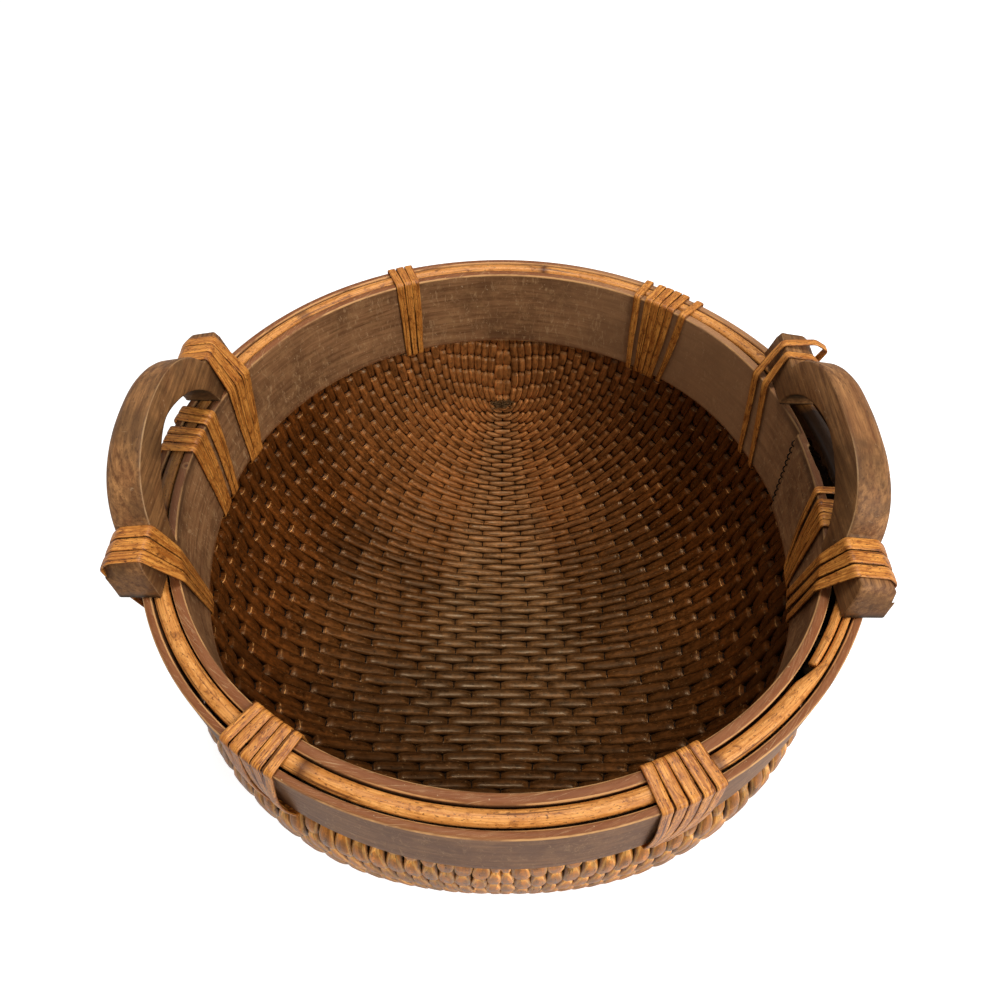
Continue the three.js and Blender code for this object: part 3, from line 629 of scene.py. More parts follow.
# A painted highlight: a pale drop down the floor's middle, widening from the back pole and fading to the
# front.
drop_width = reckon(t, "MULTIPLY_ADD", away, 0.27, 0.008)
drop_way = reckon(t, "DIVIDE", reckon(t, "ABSOLUTE", place_x), drop_width)
painted_highlight_drop = step_between(t, drop_way, 1.15, 0.75)
drop_fade = step_between(t, place_y, -0.1, 0.1, 0.22)
below_pole = step_between(t, place_z, 0.126, 0.116)
painted_highlight_drop = product(t, painted_highlight_drop, drop_fade, below_pole)
floor_wall = layered(t, floor_wall, painted_highlight_drop, "bd8f5c")
sides = layered(t, "c27a30", inside, floor_wall)
segment_way = reckon(t, "ABSOLUTE", tip)
leaf_end = reckon(t, "POWER", reckon(t, "SUBTRACT", 1.0, segment_way), 2.0)
leaf = reckon(t, "MULTIPLY_ADD", leaf_end, 0.22, 0.76)
leaf = reckon(t, "SUBTRACT", crown, leaf)
leaf_wander = reckon(t, "MULTIPLY_ADD", fibres, 0.3, -0.15)
leaf = reckon(t, "ADD", leaf, leaf_wander)
outside = reckon(t, "SUBTRACT", 1.0, inside)
leaf_edge = product(t, reckon(t, "COMPARE", leaf, 0.0, 0.07), outside, 0.7)
leaf_heart = product(t, step_between(t, leaf, 0.08, 0.16, 0.55), outside)
sides = layered(t, sides, leaf_heart, "7c4214")
sides = layered(t, sides, leaf_edge, "dda257")
brightness = step_between(t, tone, 0.0, 1.0, 1.38, 0.62)
patch_light = step_between(t, patches, 0.3, 0.7, 1.2, 0.8)
fibre_light = step_between(t, fibres, 0.37, 0.63, 1.5, 0.45)
# Painted shade on the rods' sides, in the grooves between them, and a painted highlight on their crowns.
painted_groove_shade = step_between(t, crown, 0.35, 0.9, 1.12, 0.04)
# Painted shade on the inside, deeper towards the front wall and deeper still on the right front.
painted_front_shade = step_between(t, place_y, 0.02, -0.12, 0.36)
right_side = step_between(t, place_x, 0.07, 0.16)
right_front_shade = step_between(t, place_y, 0.03, -0.06, 0.25)
painted_front_shade = reckon(t, "MULTIPLY_ADD", right_side, right_front_shade, painted_front_shade)
painted_shade_factor = reckon(t, "SUBTRACT", 1.0, product(t, painted_front_shade, inside))
# Painted shade, near black, on the wall's edge between the hoops.
painted_gap_shade = step_between(t, place_z, 0.208, 0.213, 0.95)
gap_shade_factor = reckon(t, "SUBTRACT", 1.0, painted_gap_shade)
painted_shade_factor = product(t, painted_shade_factor, gap_shade_factor)
# Painted light and painted shade on alternate long facets of each rod, as if its split faces met the light
# differently.
facet_wander = reckon(t, "MULTIPLY_ADD", broad_fibres, 0.004, -0.002)
facet_side = reckon(t, "MULTIPLY_ADD", tone, 0.0024, -0.0012)
facet = reckon(t, "WRAP", grain_y, 0.008, 0.0)
facet = reckon(t, "SUBTRACT", facet, 0.004)
facet = reckon(t, "ADD", facet, facet_wander)
facet = reckon(t, "SUBTRACT", facet, facet_side)
painted_facet_light = step_between(t, facet, -0.0002, 0.0002, 1.2, 0.74)
# Pale tips at the rods' ends up the inside walls, partly wear and partly a painted highlight where the ends
# face the light.
worn = step_between(t, tip, 0.895, 0.92)
worn_lit_end = step_between(t, tip, 0.97, 0.95)
# Painted shade on each rod's end face, below the pale tip.
painted_end_shade = step_between(t, tip, 0.955, 0.975, 0.2, 1.0)
# Random tone, patches and grain, times the painted shade and light of grooves, facets, rod ends, front and
# hoops' gap.
light = product(
    t, brightness, patch_light, fibre_light, painted_groove_shade, painted_facet_light, painted_shade_factor, painted_end_shade
)
chips = step_between(t, noise_texture(t, place, 240.0), 0.44, 0.56)
exposed = step_between(t, tone, 0.3, 0.7, 1.0, 0.15)
worn_and_lit_tips = product(t, worn, worn_lit_end, inside, climb, chips, exposed)
tipped = layered(t, sides, worn_and_lit_tips, "cc9050")
shade = reckon_vectors(t, "SCALE", tipped, light)
specks = noise_texture(t, place, 420.0, 2.0, 0.8)
speck = step_between(t, specks, 0.66, 0.7, 0.5)
speckled = layered(t, shade, speck, "b98f5c")
relief = add_node(t, "ShaderNodeBump", {"Height": fibres, "Strength": 0.55, "Distance": 0.0005})
gloss = step_between(t, fibres, 0.35, 0.65, 0.46, 0.24)
gloss = reckon(t, "MULTIPLY_ADD", worn_and_lit_tips, 0.35, gloss)
finish_material(t, speckled, gloss, relief, 0.5, IOR=1.5, Specular_Tint=linear("f2cfa4"))


POLE_OVERLAP = 0.0011  # by which a short rod reaches under the arms beside it


def pole_rows(end, sideways):
    """A short rod in the slit between a pole and the rim, beside which the innermost U's two arms rise."""
    counts, values = sections_along(end, 0.4)
    middle = flattened(values["places"]) * [0, 1, 1]
    gap = np.abs(values["places"][:, 0]) * 2 - values["width"]
    width = np.maximum(gap / 2, 0.0006) + POLE_OVERLAP
    middle[:, 0] = sideways * gap / 4
    level = values["normals"] * [0, 1, 1]
    tones = {key: chance.random() for key in range(40)}
    return {
        "places": middle,
        "normal": level / np.linalg.norm(level, axis=1)[:, None],
        "across": np.tile([1.0, 0.0, 0.0], (len(counts), 1)),
        "width": width,
        "along": values["length"],
        "phase": counts + ((end + 1) % 2),
        "inside_tone": np.array([tones[int((count + end) / 2) % 40] for count in counts]),
        "outside_tone": np.array([tones[int((count + end + 1) / 2) % 40] for count in counts]),
        "rod_tone": np.full(len(counts), chance.random()),
    }


rod_groups = {
    "woven_rods_back": [rod_rows(index) for index in range(20, BACK_RODS)],
    "woven_rods_middle": [rod_rows(index) for index in range(-9, 20)],
    "woven_rods_front": [rod_rows(index) for index in range(1 - FRONT_RODS, -9)],
}
for sideways in (-1, 1):
    rod_groups["woven_rods_back"].append(pole_rows(BACK_RODS - 1, sideways))
    rod_groups["woven_rods_front"].append(pole_rows(1 - FRONT_RODS, sideways))
for name, lines in rod_groups.items():
    mesh = line_mesh(name + "_lines", lines)
    rods = grown(name, mesh, rod_tree, {"Sides": 10, "Material": willow})
    stand_for(rods, "woven_willow", "woven_bowl")

# Hemp thread: one long two-ply thread that crosses every rod, over and under in turn, in ovals round
# both poles. It shows in the notches where a rod dips, and is matted with dirt where it turns at a pole.
THREAD_SWING = 0.0010  # to each side of the wall's middle


def thread_line(count, side):
    """One thread from the front pole to the back pole, broken where the rods end before it."""
    lines, places = [], []
    for index in sorted(arms):
        line = arms[index]
        if line["count"][-1] < count:
            if len(places) > 2:
                lines.append(places)
            places = []
            continue
        place = at_count(line, "places", np.array([count]))[0]
        normal = at_count(line, "normals", np.array([count]))[0]
        swing = -THREAD_SWING if (index + count) % 2 == 0 else THREAD_SWING
        place = place + normal * swing
        if side < 0:
            place = mirrored(place)
        place = flattened(place)
        if places:
            places.append((places[-1] + place) / 2)
        places.append(place)
    if len(places) > 2:
        lines.append(places)
    return [{"places": np.array(line)} for line in lines]


thread_tree, given = new_tree(
    "round_thread",
    [
        ("Sides", "NodeSocketInt", 5),
        ("Radius", "NodeSocketFloat", THREAD_RADIUS),
        ("Material", "NodeSocketMaterial", None),
    ],
)
t = thread_tree
threads = add_node(t, "GeometryNodeMeshToCurve", {"Mesh": given.outputs["Geometry"]})
ring = add_node(
    t, "GeometryNodeCurvePrimitiveCircle",
    {"Resolution": given.outputs["Sides"], "Radius": given.outputs["Radius"]},
)
threads = add_node(t, "GeometryNodeCurveToMesh", {"Curve": threads, "Profile Curve": ring, "Fill Caps": True})
finish_tree(t, threads, given.outputs["Material"])

def hemp_material(name, dark, light, dirty):
    """Hemp, spun and never washed: brown, matt, with fine pale fibres that stand out of the twist."""
    material = empty_material(name)
    t = material.node_tree
    place = add_node(t, "ShaderNodeTexCoord").outputs["Object"]
    fluff = noise_texture(t, place, 900.0, 3.0)
    dirt_and_painted_shade = noise_texture(t, place, 40.0, 2.0)
    fluff_light = step_between(t, fluff, 0.4, 0.6)
    fibre = layered(t, dark, fluff_light, light)
    shade = layered(t, fibre, dirt_and_painted_shade, dirty)
    relief = add_node(t, "ShaderNodeBump", {"Height": fluff, "Strength": 0.6, "Distance": 0.0004})
    finish_material(t, shade, 0.9, relief, 0.1)
    return material


hemp = hemp_material("hemp_thread_spun", "100a05", "33231a", "1c120a")

thread_lines = thread_line(0, 1)
for count in range(1, 20):
    thread_lines += thread_line(count, 1) + thread_line(count, -1)
threads = grown(
    "woven_threads", line_mesh("woven_threads_lines", thread_lines), thread_tree, {"Material": hemp}
)
stand_for(threads, "hemp_thread", "woven_bowl")

# Hoops
# Two bands of steamed and bent wood that grip the wall's edge. The inner one is broader, and its ends lap
# at the right: the near end lies inside the far one and is sewn to it.
INNER_HOOP = (0.1902, 0.1956, INNER_HOOP_FOOT)  # inner radius, outer radius, height of the foot
OUTER_HOOP = (0.2058, 0.2100, 0.209)
EDGE_ROUND = 0.0012
SEAM_TOP = math.radians(8)
SEAM_FOOT = math.radians(5.8)
SEAM_MIDDLE = (SEAM_TOP + SEAM_FOOT) / 2
LAP_STEP = 0.0026  # how far the far end lies behind the near one at the seam
LAP_RUN = math.radians(15)
TAIL_END = SEAM_MIDDLE - math.radians(2.6)  # where the far end stops behind the near one
TAIL_STEP = 0.0016
HOOP_STEPS = 240
KNOT_PLACE = (-0.1873, -0.0028, 0.26)


def rim_place(radius, angle, height):
    """A place about the rim, given as if it were round."""
    return flattened([radius * math.cos(angle), radius * math.sin(angle), height])


def surface_mesh(name, rows, closed_rows):
    """A mesh through rows of (place, grain, edge, top) of equal count. Each row is a closed section."""
    mesh = bpy.data.meshes.new(name)
    count = len(rows[0])
    points = [tuple(item[0]) for row in rows for item in row]
    faces = []
    for i in range(len(rows) if closed_rows else len(rows) - 1):
        j = (i + 1) % len(rows)
        for k in range(count):
            m = (k + 1) % count
            faces.append((i * count + k, j * count + k, j * count + m, i * count + m))
    if not closed_rows:
        faces.append(tuple(range(count)))
        faces.append(tuple(reversed(range((len(rows) - 1) * count, len(rows) * count))))
    mesh.from_pydata(points, [], faces)
    grain = mesh.attributes.new("grain", "FLOAT_VECTOR", "POINT")
    grains = np.array([item[1] for row in rows for item in row], np.float32)
    grain.data.foreach_set("vector", grains.ravel())
    for place_in_item, label in ((2, "edge"), (3, "top")):
        values = np.array([item[place_in_item] for row in rows for item in row], np.float32)
        mesh.attributes.new(label, "FLOAT", "POINT").data.foreach_set("value", values)
    mesh.polygons.foreach_set("use_smooth", [True] * len(mesh.polygons))
    return mesh


def add_piece(name, mesh, material, node, slot):
    """Puts a finished mesh in the scene in place of a CAD node."""
    mesh.materials.append(material)
    piece = bpy.data.objects.new(name, mesh)
    scene.collection.objects.link(piece)
    stand_for(piece, slot, node)


def hoop_section(inner, outer, foot):
    """A hoop's section from its inner foot, as (radius, height, edge, top)."""
    bevel = EDGE_ROUND
    levels = [foot + (RIM_HEIGHT - foot) * k / 9 for k in range(1, 9)]
    rim_low, rim_high = RIM_HEIGHT - bevel, RIM_HEIGHT - bevel * 0.3
    return [
        (inner, foot + bevel * 0.5, 0.9, 0.7), (inner, foot + 0.0022, 0, 0.3),
        (inner, foot + 0.0034, 0, 0), *[(inner, height, 0, 0) for height in levels],
        (inner, rim_low - 0.0008, 0.3, 0), (inner, rim_low, 1, 0.2),
        (inner + bevel * 0.3, rim_high, 1, 0.6), (inner + bevel, RIM_HEIGHT, 0.3, 1),
        ((inner + outer) / 2, RIM_HEIGHT + 0.0001, 0, 1), (outer - bevel, RIM_HEIGHT, 0.3, 1),
        (outer - bevel * 0.3, rim_high, 1, 0.6), (outer, rim_low, 1, 0.2),
        (outer, rim_low - 0.0008, 0.3, 0), *[(outer, height, 0, 0) for height in reversed(levels)],
        (outer, foot + bevel * 0.5, 0.8, 0.3), (outer - bevel * 0.5, foot, 0.6, 0.3),
        (inner + bevel * 0.5, foot, 0.6, 0.7)
    ]


def hoop_rows(inner, outer, foot, lapped):
    """Sections of a hoop all round, bent a little unevenly, with the lap's two steps."""
    angles = [2 * math.pi * k / HOOP_STEPS + math.radians(0.3) for k in range(HOOP_STEPS)]
    if lapped:
        angles = sorted(angles + [edge + way * 0.0006 for edge in (SEAM_MIDDLE, TAIL_END) for way in (-1, 1)])
    rows = []
    for angle in angles:
        row = []
        for radius, height, edge, top in hoop_section(inner, outer, foot):
            turn = angle
            bent = noise.noise(Vector((math.cos(turn) * 2.2, math.sin(turn) * 2.2, height * 9))) * 0.0005
            if lapped:
                slant = SEAM_FOOT + (SEAM_TOP - SEAM_FOOT) * (height - foot) / (RIM_HEIGHT - foot)
                turn += (slant - SEAM_MIDDLE) * math.exp(-(((angle - SEAM_MIDDLE) / 0.12) ** 2))
                past_seam = angle - SEAM_MIDDLE
                if 0 < past_seam < LAP_RUN and radius < (inner + outer) / 2 - 0.0001:
                    bent += LAP_STEP * (1 - past_seam / LAP_RUN) ** 1.5
                if abs(past_seam) < 0.001 and radius < (inner + outer) / 2:
                    edge = 1.0
                before_tail = TAIL_END - angle
                if 0 < before_tail < LAP_RUN and radius > (inner + outer) / 2 + 0.0001:
                    bent -= TAIL_STEP * (1 - before_tail / LAP_RUN) ** 1.5
            row.append((
                rim_place(radius + bent, turn, height), (turn * radius, height + radius * 2, 0.0), edge, top
            ))
        rows.append(row)
    return rows


# Bentwood, scraped smooth and worn: grey brown with long faint grain, short pale scratches and specks, red
# brown where it is cut across at its edges, with corners rubbed to bare pale wood, painted light that makes
# the back right paler, and painted shade, near black, on the rim's top under the handles.
bentwood = empty_material("bentwood_scraped_and_worn")
t = bentwood.node_tree
grain = attribute(t, "grain", "Vector")
edge = attribute(t, "edge")
top = attribute(t, "top")
place = add_node(t, "ShaderNodeTexCoord").outputs["Object"]


fibres = stretched_noise(t, grain, (26.0, 300.0, 1.0), 5.0, 0.65, 0.7)
stains = noise_texture(t, place, 24.0, 5.0, 0.65)
scratches = stretched_noise(t, grain, (260.0, 90.0, 1.0), 7.0, 0.75, 1.6)
long_scratches = stretched_noise(t, grain, (38.0, 700.0, 1.0), 3.0, 0.5, 0.5)
specks = noise_texture(t, place, 520.0, 1.0)
colour = layered(t, "623d23", step_between(t, fibres, 0.26, 0.74), "b07f54")
colour = layered(t, colour, step_between(t, stains, 0.42, 0.62, 0.6), "553620")
mottling = noise_texture(t, place, 110.0, 5.0, 0.7)
colour = layered(t, colour, step_between(t, mottling, 0.5, 0.66, 0.5), "a67b50")
red_edge = reckon(t, "MULTIPLY", top, 0.65)
colour = layered(t, colour, red_edge, "84451d")
colour = layered(t, colour, step_between(t, scratches, 0.55, 0.64, 0.55), "c9a072")
colour = layered(t, colour, step_between(t, long_scratches, 0.66, 0.7, 0.4), "3c2616")
colour = layered(t, colour, step_between(t, specks, 0.74, 0.78, 0.5), "d8b88c")
place_x, place_y, place_z = axes(t, place)
# Painted light: the hoops are made paler towards the back right.
back = step_between(t, place_y, 0.0, 0.1, 0.6)
painted_light_back_right = product(t, step_between(t, place_x, 0.02, 0.12), back)
colour = layered(t, colour, painted_light_back_right, "b98a60")
near_front = step_between(t, place_y, -0.1, -0.18, 0.45)
handled = product(t, near_front, step_between(t, place_z, 0.2592, 0.2575))
colour = layered(t, colour, handled, "5e3a20")
rubbed = reckon(t, "MULTIPLY", edge, stains)
colour = layered(t, colour, step_between(t, rubbed, 0.38, 0.52, 0.9), "d6a066")
knot_way = reckon_vectors(t, "DISTANCE", place, KNOT_PLACE).outputs["Value"]
knot_ring = reckon(t, "COMPARE", knot_way, 0.0022, 0.0005)
colour = layered(t, colour, reckon(t, "MULTIPLY", knot_ring, 0.6), "b98a5c")
knot_heart = reckon(t, "LESS_THAN", knot_way, 0.0008)
colour = layered(t, colour, reckon(t, "MULTIPLY", knot_heart, 0.7), "3a2416")


def painted_shade_under_arches(tree, coordinates):
    """1 on the rim's top under the handles' arches, where painted shade goes."""
    x, y, z = axes(tree, coordinates)
    reach = step_between(tree, reckon(tree, "ABSOLUTE", y), 0.066, 0.046)
    high = step_between(tree, z, 0.251, 0.256)
    far_out = reckon(tree, "GREATER_THAN", reckon(tree, "ABSOLUTE", x), 0.12)
    return product(tree, reach, high, far_out)


# Painted shade, near black, on the hoops' tops under the arches.
dirt_and_painted_shade = reckon(t, "MULTIPLY", painted_shade_under_arches(t, place), 0.55)
colour = layered(t, colour, dirt_and_painted_shade, "38261a")
relief = add_node(t, "ShaderNodeBump", {"Height": fibres, "Strength": 0.4, "Distance": 0.0004})
finish_material(t, colour, 0.55, relief, 0.22, IOR=1.5)

for node, hoop, lapped in (("inner_hoop", INNER_HOOP, True), ("outer_hoop", OUTER_HOOP, False)):
    hoop_mesh = surface_mesh("bent_" + node, hoop_rows(*hoop, lapped), True)
    add_piece("bent_" + node, hoop_mesh, bentwood, node, "bentwood")

# Stitching
# Dark hemp in short slanting stitches down the inner hoop's lap, each through a pair of awl holes.
STITCHES = 10
STITCHES_FROM = 0.202  # height of the lowest
STITCHES_LENGTH = 0.053
stitch_lines = []
for k in range(STITCHES):
    part = (k + 0.5) / STITCHES
    height = STITCHES_FROM + STITCHES_LENGTH * part
    rise = (height - INNER_HOOP_FOOT) / (RIM_HEIGHT - INNER_HOOP_FOOT)
    angle = SEAM_FOOT + (SEAM_TOP - SEAM_FOOT) * rise
    line = []
    for way, lift in ((-1, -0.0006), (-0.7, 0.0007), (0, 0.0010), (0.7, 0.0004), (1, -0.0010)):
        line.append(rim_place(INNER_HOOP[0] - lift, angle + way * 0.0075, height + way * 0.0011))
    stitch_lines.append({"places": np.array(line)})
stitching = grown(
    "lap_stitches", line_mesh("lap_stitches_lines", stitch_lines), thread_tree,
    {"Sides": 6, "Radius": 0.0005, "Material": hemp},
)
stand_for(stitching, "hemp_thread", "seam_stitching")

# Cane filler
# A peeled cane rod on the wall's edge between the hoops, its pared ends side by side at the right front.
CANE_WIDTH = 0.0080
CANE_HEIGHT = 0.0065
CANE_TOP = 0.2608
CANE_MIDDLE = 0.2007
SPLICE_FROM, SPLICE_TO = -40, -25
CANE_END_SHARE = 0.46
CANE_NODE_SPACING = 0.19

cane_rows = []
for degrees in np.arange(SPLICE_FROM, 360 + SPLICE_TO + 0.1, 1.25):
    start_part = min(max((SPLICE_TO + 4 - degrees) / 5, 0), 1)
    finish_part = min(max((degrees - 356 - SPLICE_FROM) / 5, 0), 1)
    outer = CANE_MIDDLE + CANE_WIDTH / 2 - start_part * (1 - CANE_END_SHARE) * CANE_WIDTH
    inner = CANE_MIDDLE - CANE_WIDTH / 2 + finish_part * (1 - CANE_END_SHARE) * CANE_WIDTH
    angle = math.radians(degrees)
    way = angle * CANE_MIDDLE
    joint = math.exp(-(((way / CANE_NODE_SPACING) % 1 - 0.5) * CANE_NODE_SPACING / 0.0035) ** 2)
    row = []
    for k in range(14):
        turn = 2 * math.pi * k / 14
        half = (outer - inner) / 2 * 0.99
        radius = (inner + outer) / 2 + math.cos(turn) * half
        lumps = noise.noise(Vector((math.cos(angle) * 5, math.sin(angle) * 5, 3))) * 0.0003
        height = CANE_TOP - CANE_HEIGHT / 2 + math.sin(turn) * CANE_HEIGHT / 2 * (0.94 + 0.06 * joint) + lumps
        row.append((rim_place(radius, angle, height), (way, turn * 0.0035, 0.0), joint, 0))
    cane_rows.append(row)


def cane_material(name, pale, dark, crack, left_painted_shade, right_painted_shade):
    """Peeled cane and split rattan: a hard gold skin over long straight fibres, blotched brown, with pits
    and dark splits, and painted shade under the arches of the handles, as deep as given for each side."""
    material = empty_material(name)
    t = material.node_tree
    grain = attribute(t, "grain", "Vector")
    edge = attribute(t, "edge")
    place = add_node(t, "ShaderNodeTexCoord").outputs["Object"]
    fibres = stretched_noise(t, grain, (34.0, 1100.0, 50.0))
    blotches = stretched_noise(t, grain, (120.0, 260.0, 23.0), 5.0, 0.7, 0.8)
    splits = stretched_noise(t, grain, (12.0, 640.0, 31.0), 2.0, 0.5)
    pits = stretched_noise(t, grain, (420.0, 1200.0, 17.0), 2.0)
    colour = layered(t, dark, step_between(t, fibres, 0.36, 0.64), pale)
    colour = layered(t, colour, step_between(t, blotches, 0.45, 0.6, 0.75), dark)
    colour = layered(t, colour, step_between(t, blotches, 0.57, 0.68, 0.65), crack)
    for factor in (step_between(t, pits, 0.6, 0.66, 0.8), step_between(t, splits, 0.62, 0.67, 0.8), edge):
        colour = layered(t, colour, factor, crack)
    right = add_node(t, "ShaderNodeSeparateXYZ", {0: place}).outputs["X"]
    depth = step_between(t, right, -0.01, 0.01, right_painted_shade, left_painted_shade)
    # Painted shade under the handles' arches, as deep as given for the left and the right side.
    arch_painted_shade = reckon(t, "MULTIPLY", painted_shade_under_arches(t, place), depth)
    colour = layered(t, colour, arch_painted_shade, "241710")
    relief = add_node(t, "ShaderNodeBump", {"Height": fibres, "Strength": 0.5, "Distance": 0.0005})
    dents = add_node(
        t, "ShaderNodeBump", {"Height": blotches, "Normal": relief, "Strength": 0.4, "Distance": 0.0006}
    )
    finish_material(t, colour, 0.42, dents, 0.35, IOR=1.5)
    return material


cane = cane_material("peeled_cane_polished_by_hands", "f0a95a", "bf7630", "5a2f12", 0.7, 0.97)
add_piece("peeled_cane", surface_mesh("peeled_cane", cane_rows, False), cane, "cane_filler", "peeled_cane")

# Handles
# Each is sawn and carved from one board: an arch for the hand between two feet that stand on the rim.
# The inner face is flat, the top slopes down outwards with a chamfer, and use has rounded every edge.
HANDLE_BASE = 0.2611
HANDLE_WIDTH = 0.022
HANDLE_LEAN = 0.17
HANDLE_TOP_FALL = 0.0025
CHAMFER_WIDTH = 0.006
CHAMFER_HEIGHT = 0.005
FOOT_BEVEL = 0.006
HANDLE_ROUND = 0.0011
RIGHT_HANDLE = {
    "side": 1, "inner": 0.174, "yaw": 0.023, "from": -0.103, "to": 0.101, "foot": 0.022, "middle": -0.003,
    "arch": (0.0685, 0.0498, 2.58), "opening": (0.0545, 0.0345, 1.75),
}
LEFT_HANDLE = {
    "side": -1, "inner": 0.178, "yaw": 0.028, "from": -0.094, "to": 0.094, "foot": 0.025, "middle": -0.004,
    "arch": (0.068, 0.0542, 2.26), "opening": (0.055, 0.0395, 1.65),
}


def handle_place(handle, along, height, across):
    """A place on a handle, which leans outwards and is turned a little with the rim."""
    x = handle["inner"] + handle["yaw"] * along + HANDLE_LEAN * height + across
    return np.array([handle["side"] * x, along, HANDLE_BASE + height])


def arch_points(half_span, height, fullness, from_height, steps):
    """Half of an arch's line from a height up to its middle, as (along, height)."""
    first = math.asin((from_height / height) ** (fullness / 2))
    points = []
    for k in range(steps + 1):
        angle = first + (math.pi / 2 - first) * k / steps
        points.append((
            half_span * abs(math.cos(angle)) ** (2 / fullness), height * math.sin(angle) ** (2 / fullness)
        ))
    return points


def handle_outline(handle):
    """The handle's outline as (along, height, is on top), and an even spread of points along it."""
    middle = handle["middle"]
    arch = arch_points(*handle["arch"], handle["foot"], 26)
    opening = arch_points(*handle["opening"], 0, 26)
    low, high = handle["from"], handle["to"]
    foot = handle["foot"]
    corners = [
        (high, 0, False), (high - FOOT_BEVEL / 2, foot - FOOT_BEVEL, True), (high - FOOT_BEVEL, foot, True)
    ]
    corners += [(middle + along, height, True) for along, height in arch]
    corners += [(middle - along, height, True) for along, height in reversed(arch[:-1])]
    corners += [
        (low + FOOT_BEVEL, foot, True), (low + FOOT_BEVEL / 2, foot - FOOT_BEVEL, True), (low, 0, False)
    ]
    corners += [(middle - along, height, False) for along, height in opening]
    corners += [(middle + along, height, False) for along, height in reversed(opening[:-1])]
    points = []
    for i, corner in enumerate(corners):
        following = corners[(i + 1) % len(corners)]
        gap = math.hypot(following[0] - corner[0], following[1] - corner[1])
        pieces = max(1, round(gap / 0.005))
        for k in range(pieces):
            part = k / pieces
            on_top = corner[2] and following[2] if k else corner[2]
            points.append((
                corner[0] + (following[0] - corner[0]) * part,
                corner[1] + (following[1] - corner[1]) * part, on_top,
            ))
    return points


def handle_mesh(name, handle):
    """The outline carried across the board in sections, with its chamfer and rounded edges."""
    outline = handle_outline(handle)
    count = len(outline)
    flat = np.array([point[:2] for point in outline])
    ahead = np.roll(flat, -1, 0) - np.roll(flat, 1, 0)
    ahead /= np.maximum(np.linalg.norm(ahead, axis=1), 1e-9)[:, None]
    inward = np.stack([-ahead[:, 1], ahead[:, 0]], 1)
    if Vector((inward[0][0], inward[0][1])).dot(Vector((-1, 0.3))) < 0:
        inward = -inward
    chamfer_from = HANDLE_WIDTH - CHAMFER_WIDTH
    edge_round = HANDLE_ROUND
    sections = [
        (0, 0, edge_round, 0), (edge_round * 0.25, 0, edge_round * 0.3, 1.0), (edge_round, 0, 0, 0.5),
        (0.0045, HANDLE_TOP_FALL * 0.28, 0, 0), (0.0085, HANDLE_TOP_FALL * 0.53, 0, 0),
        (0.0125, HANDLE_TOP_FALL * 0.78, 0, 0), (chamfer_from - 0.0008, HANDLE_TOP_FALL, 0, 0.5),
        (chamfer_from + 0.0006, HANDLE_TOP_FALL + 0.0007, 0, 0.6),
        (HANDLE_WIDTH - 0.003, HANDLE_TOP_FALL + CHAMFER_HEIGHT / 2, 0, 0),
        (HANDLE_WIDTH - edge_round, HANDLE_TOP_FALL + CHAMFER_HEIGHT - 0.0009, 0, 0.7),
        (HANDLE_WIDTH - edge_round * 0.25, HANDLE_TOP_FALL + CHAMFER_HEIGHT, edge_round * 0.3, 1.0),
        (HANDLE_WIDTH, HANDLE_TOP_FALL + CHAMFER_HEIGHT, edge_round, 0),
    ]
    rows = []
    for across, fall, inset, edge in sections:
        row = []
        for k, (along, height, on_top) in enumerate(outline):
            a = along + inward[k][0] * inset
            h = max(height + inward[k][1] * inset - (fall if on_top else 0), 0.0)
            carved = noise.noise(Vector((a * 45, h * 45, across * 60 + handle["side"] * 7))) * 0.00045
            place = handle_place(handle, a, h + (carved if h > 0.002 else 0), across)
            row.append((place, (a, h + 0.3 * handle["side"], across), edge, 1.0 if across < 0.0015 else 0.0))
        rows.append(row)
    return surface_mesh(name, rows, False)


# Carved hardwood, rubbed by hands: tan to grey brown with open grain along the board, darker on the inner
# faces, with painted shade, near black, on faces that look down under the arches, scratched, and with ridges
# worn to pale wood.
carved = empty_material("hardwood_carved_and_handled")
t = carved.node_tree
grain = attribute(t, "grain", "Vector")
edge = attribute(t, "edge")
inner_face = attribute(t, "top")
place = add_node(t, "ShaderNodeTexCoord").outputs["Object"]
facing_up = axes(t, add_node(t, "ShaderNodeTexCoord").outputs["Normal"])["Z"]
fibres = stretched_noise(t, grain, (26.0, 420.0, 420.0), 5.0, 0.65)
rings = stretched_noise(t, grain, (14.0, 90.0, 90.0), 4.0, 0.6, 0.8)
stains = noise_texture(t, place, 30.0, 5.0, 0.65)
scratches = stretched_noise(t, grain, (170.0, 170.0, 60.0), 7.0, 0.75, 1.8)
pores = stretched_noise(t, grain, (190.0, 1400.0, 1400.0), 1.0)
colour = layered(t, "6b4527", step_between(t, fibres, 0.36, 0.64), "b07c4a")
colour = layered(t, colour, step_between(t, rings, 0.46, 0.64, 0.5), "6f4224")
colour = layered(t, colour, step_between(t, stains, 0.46, 0.62, 0.6), "533a22")
colour = layered(t, colour, step_between(t, pores, 0.64, 0.72, 0.6), "3d2716")
inner_dirt = reckon(t, "MULTIPLY", inner_face, 0.2)
colour = layered(t, colour, inner_dirt, "4f3219")
colour = layered(t, colour, step_between(t, scratches, 0.62, 0.7, 0.5), "c5a278")
rubbed = reckon(t, "MULTIPLY", edge, stains)
colour = layered(t, colour, step_between(t, rubbed, 0.38, 0.6, 0.6), "c59c6c")
foot_dirt = step_between(t, axes(t, place)["Z"], 0.284, 0.274, 0.38)
colour = layered(t, colour, foot_dirt, "4a301a")
# Painted shade, near black, on faces that look down, under the arches.
below = step_between(t, facing_up, -0.25, -0.6, 0.8)
colour = layered(t, colour, below, "2f2a1c")
relief = add_node(t, "ShaderNodeBump", {"Height": fibres, "Strength": 0.55, "Distance": 0.0006})
finish_material(t, colour, 0.55, relief, 0.22, IOR=1.5)

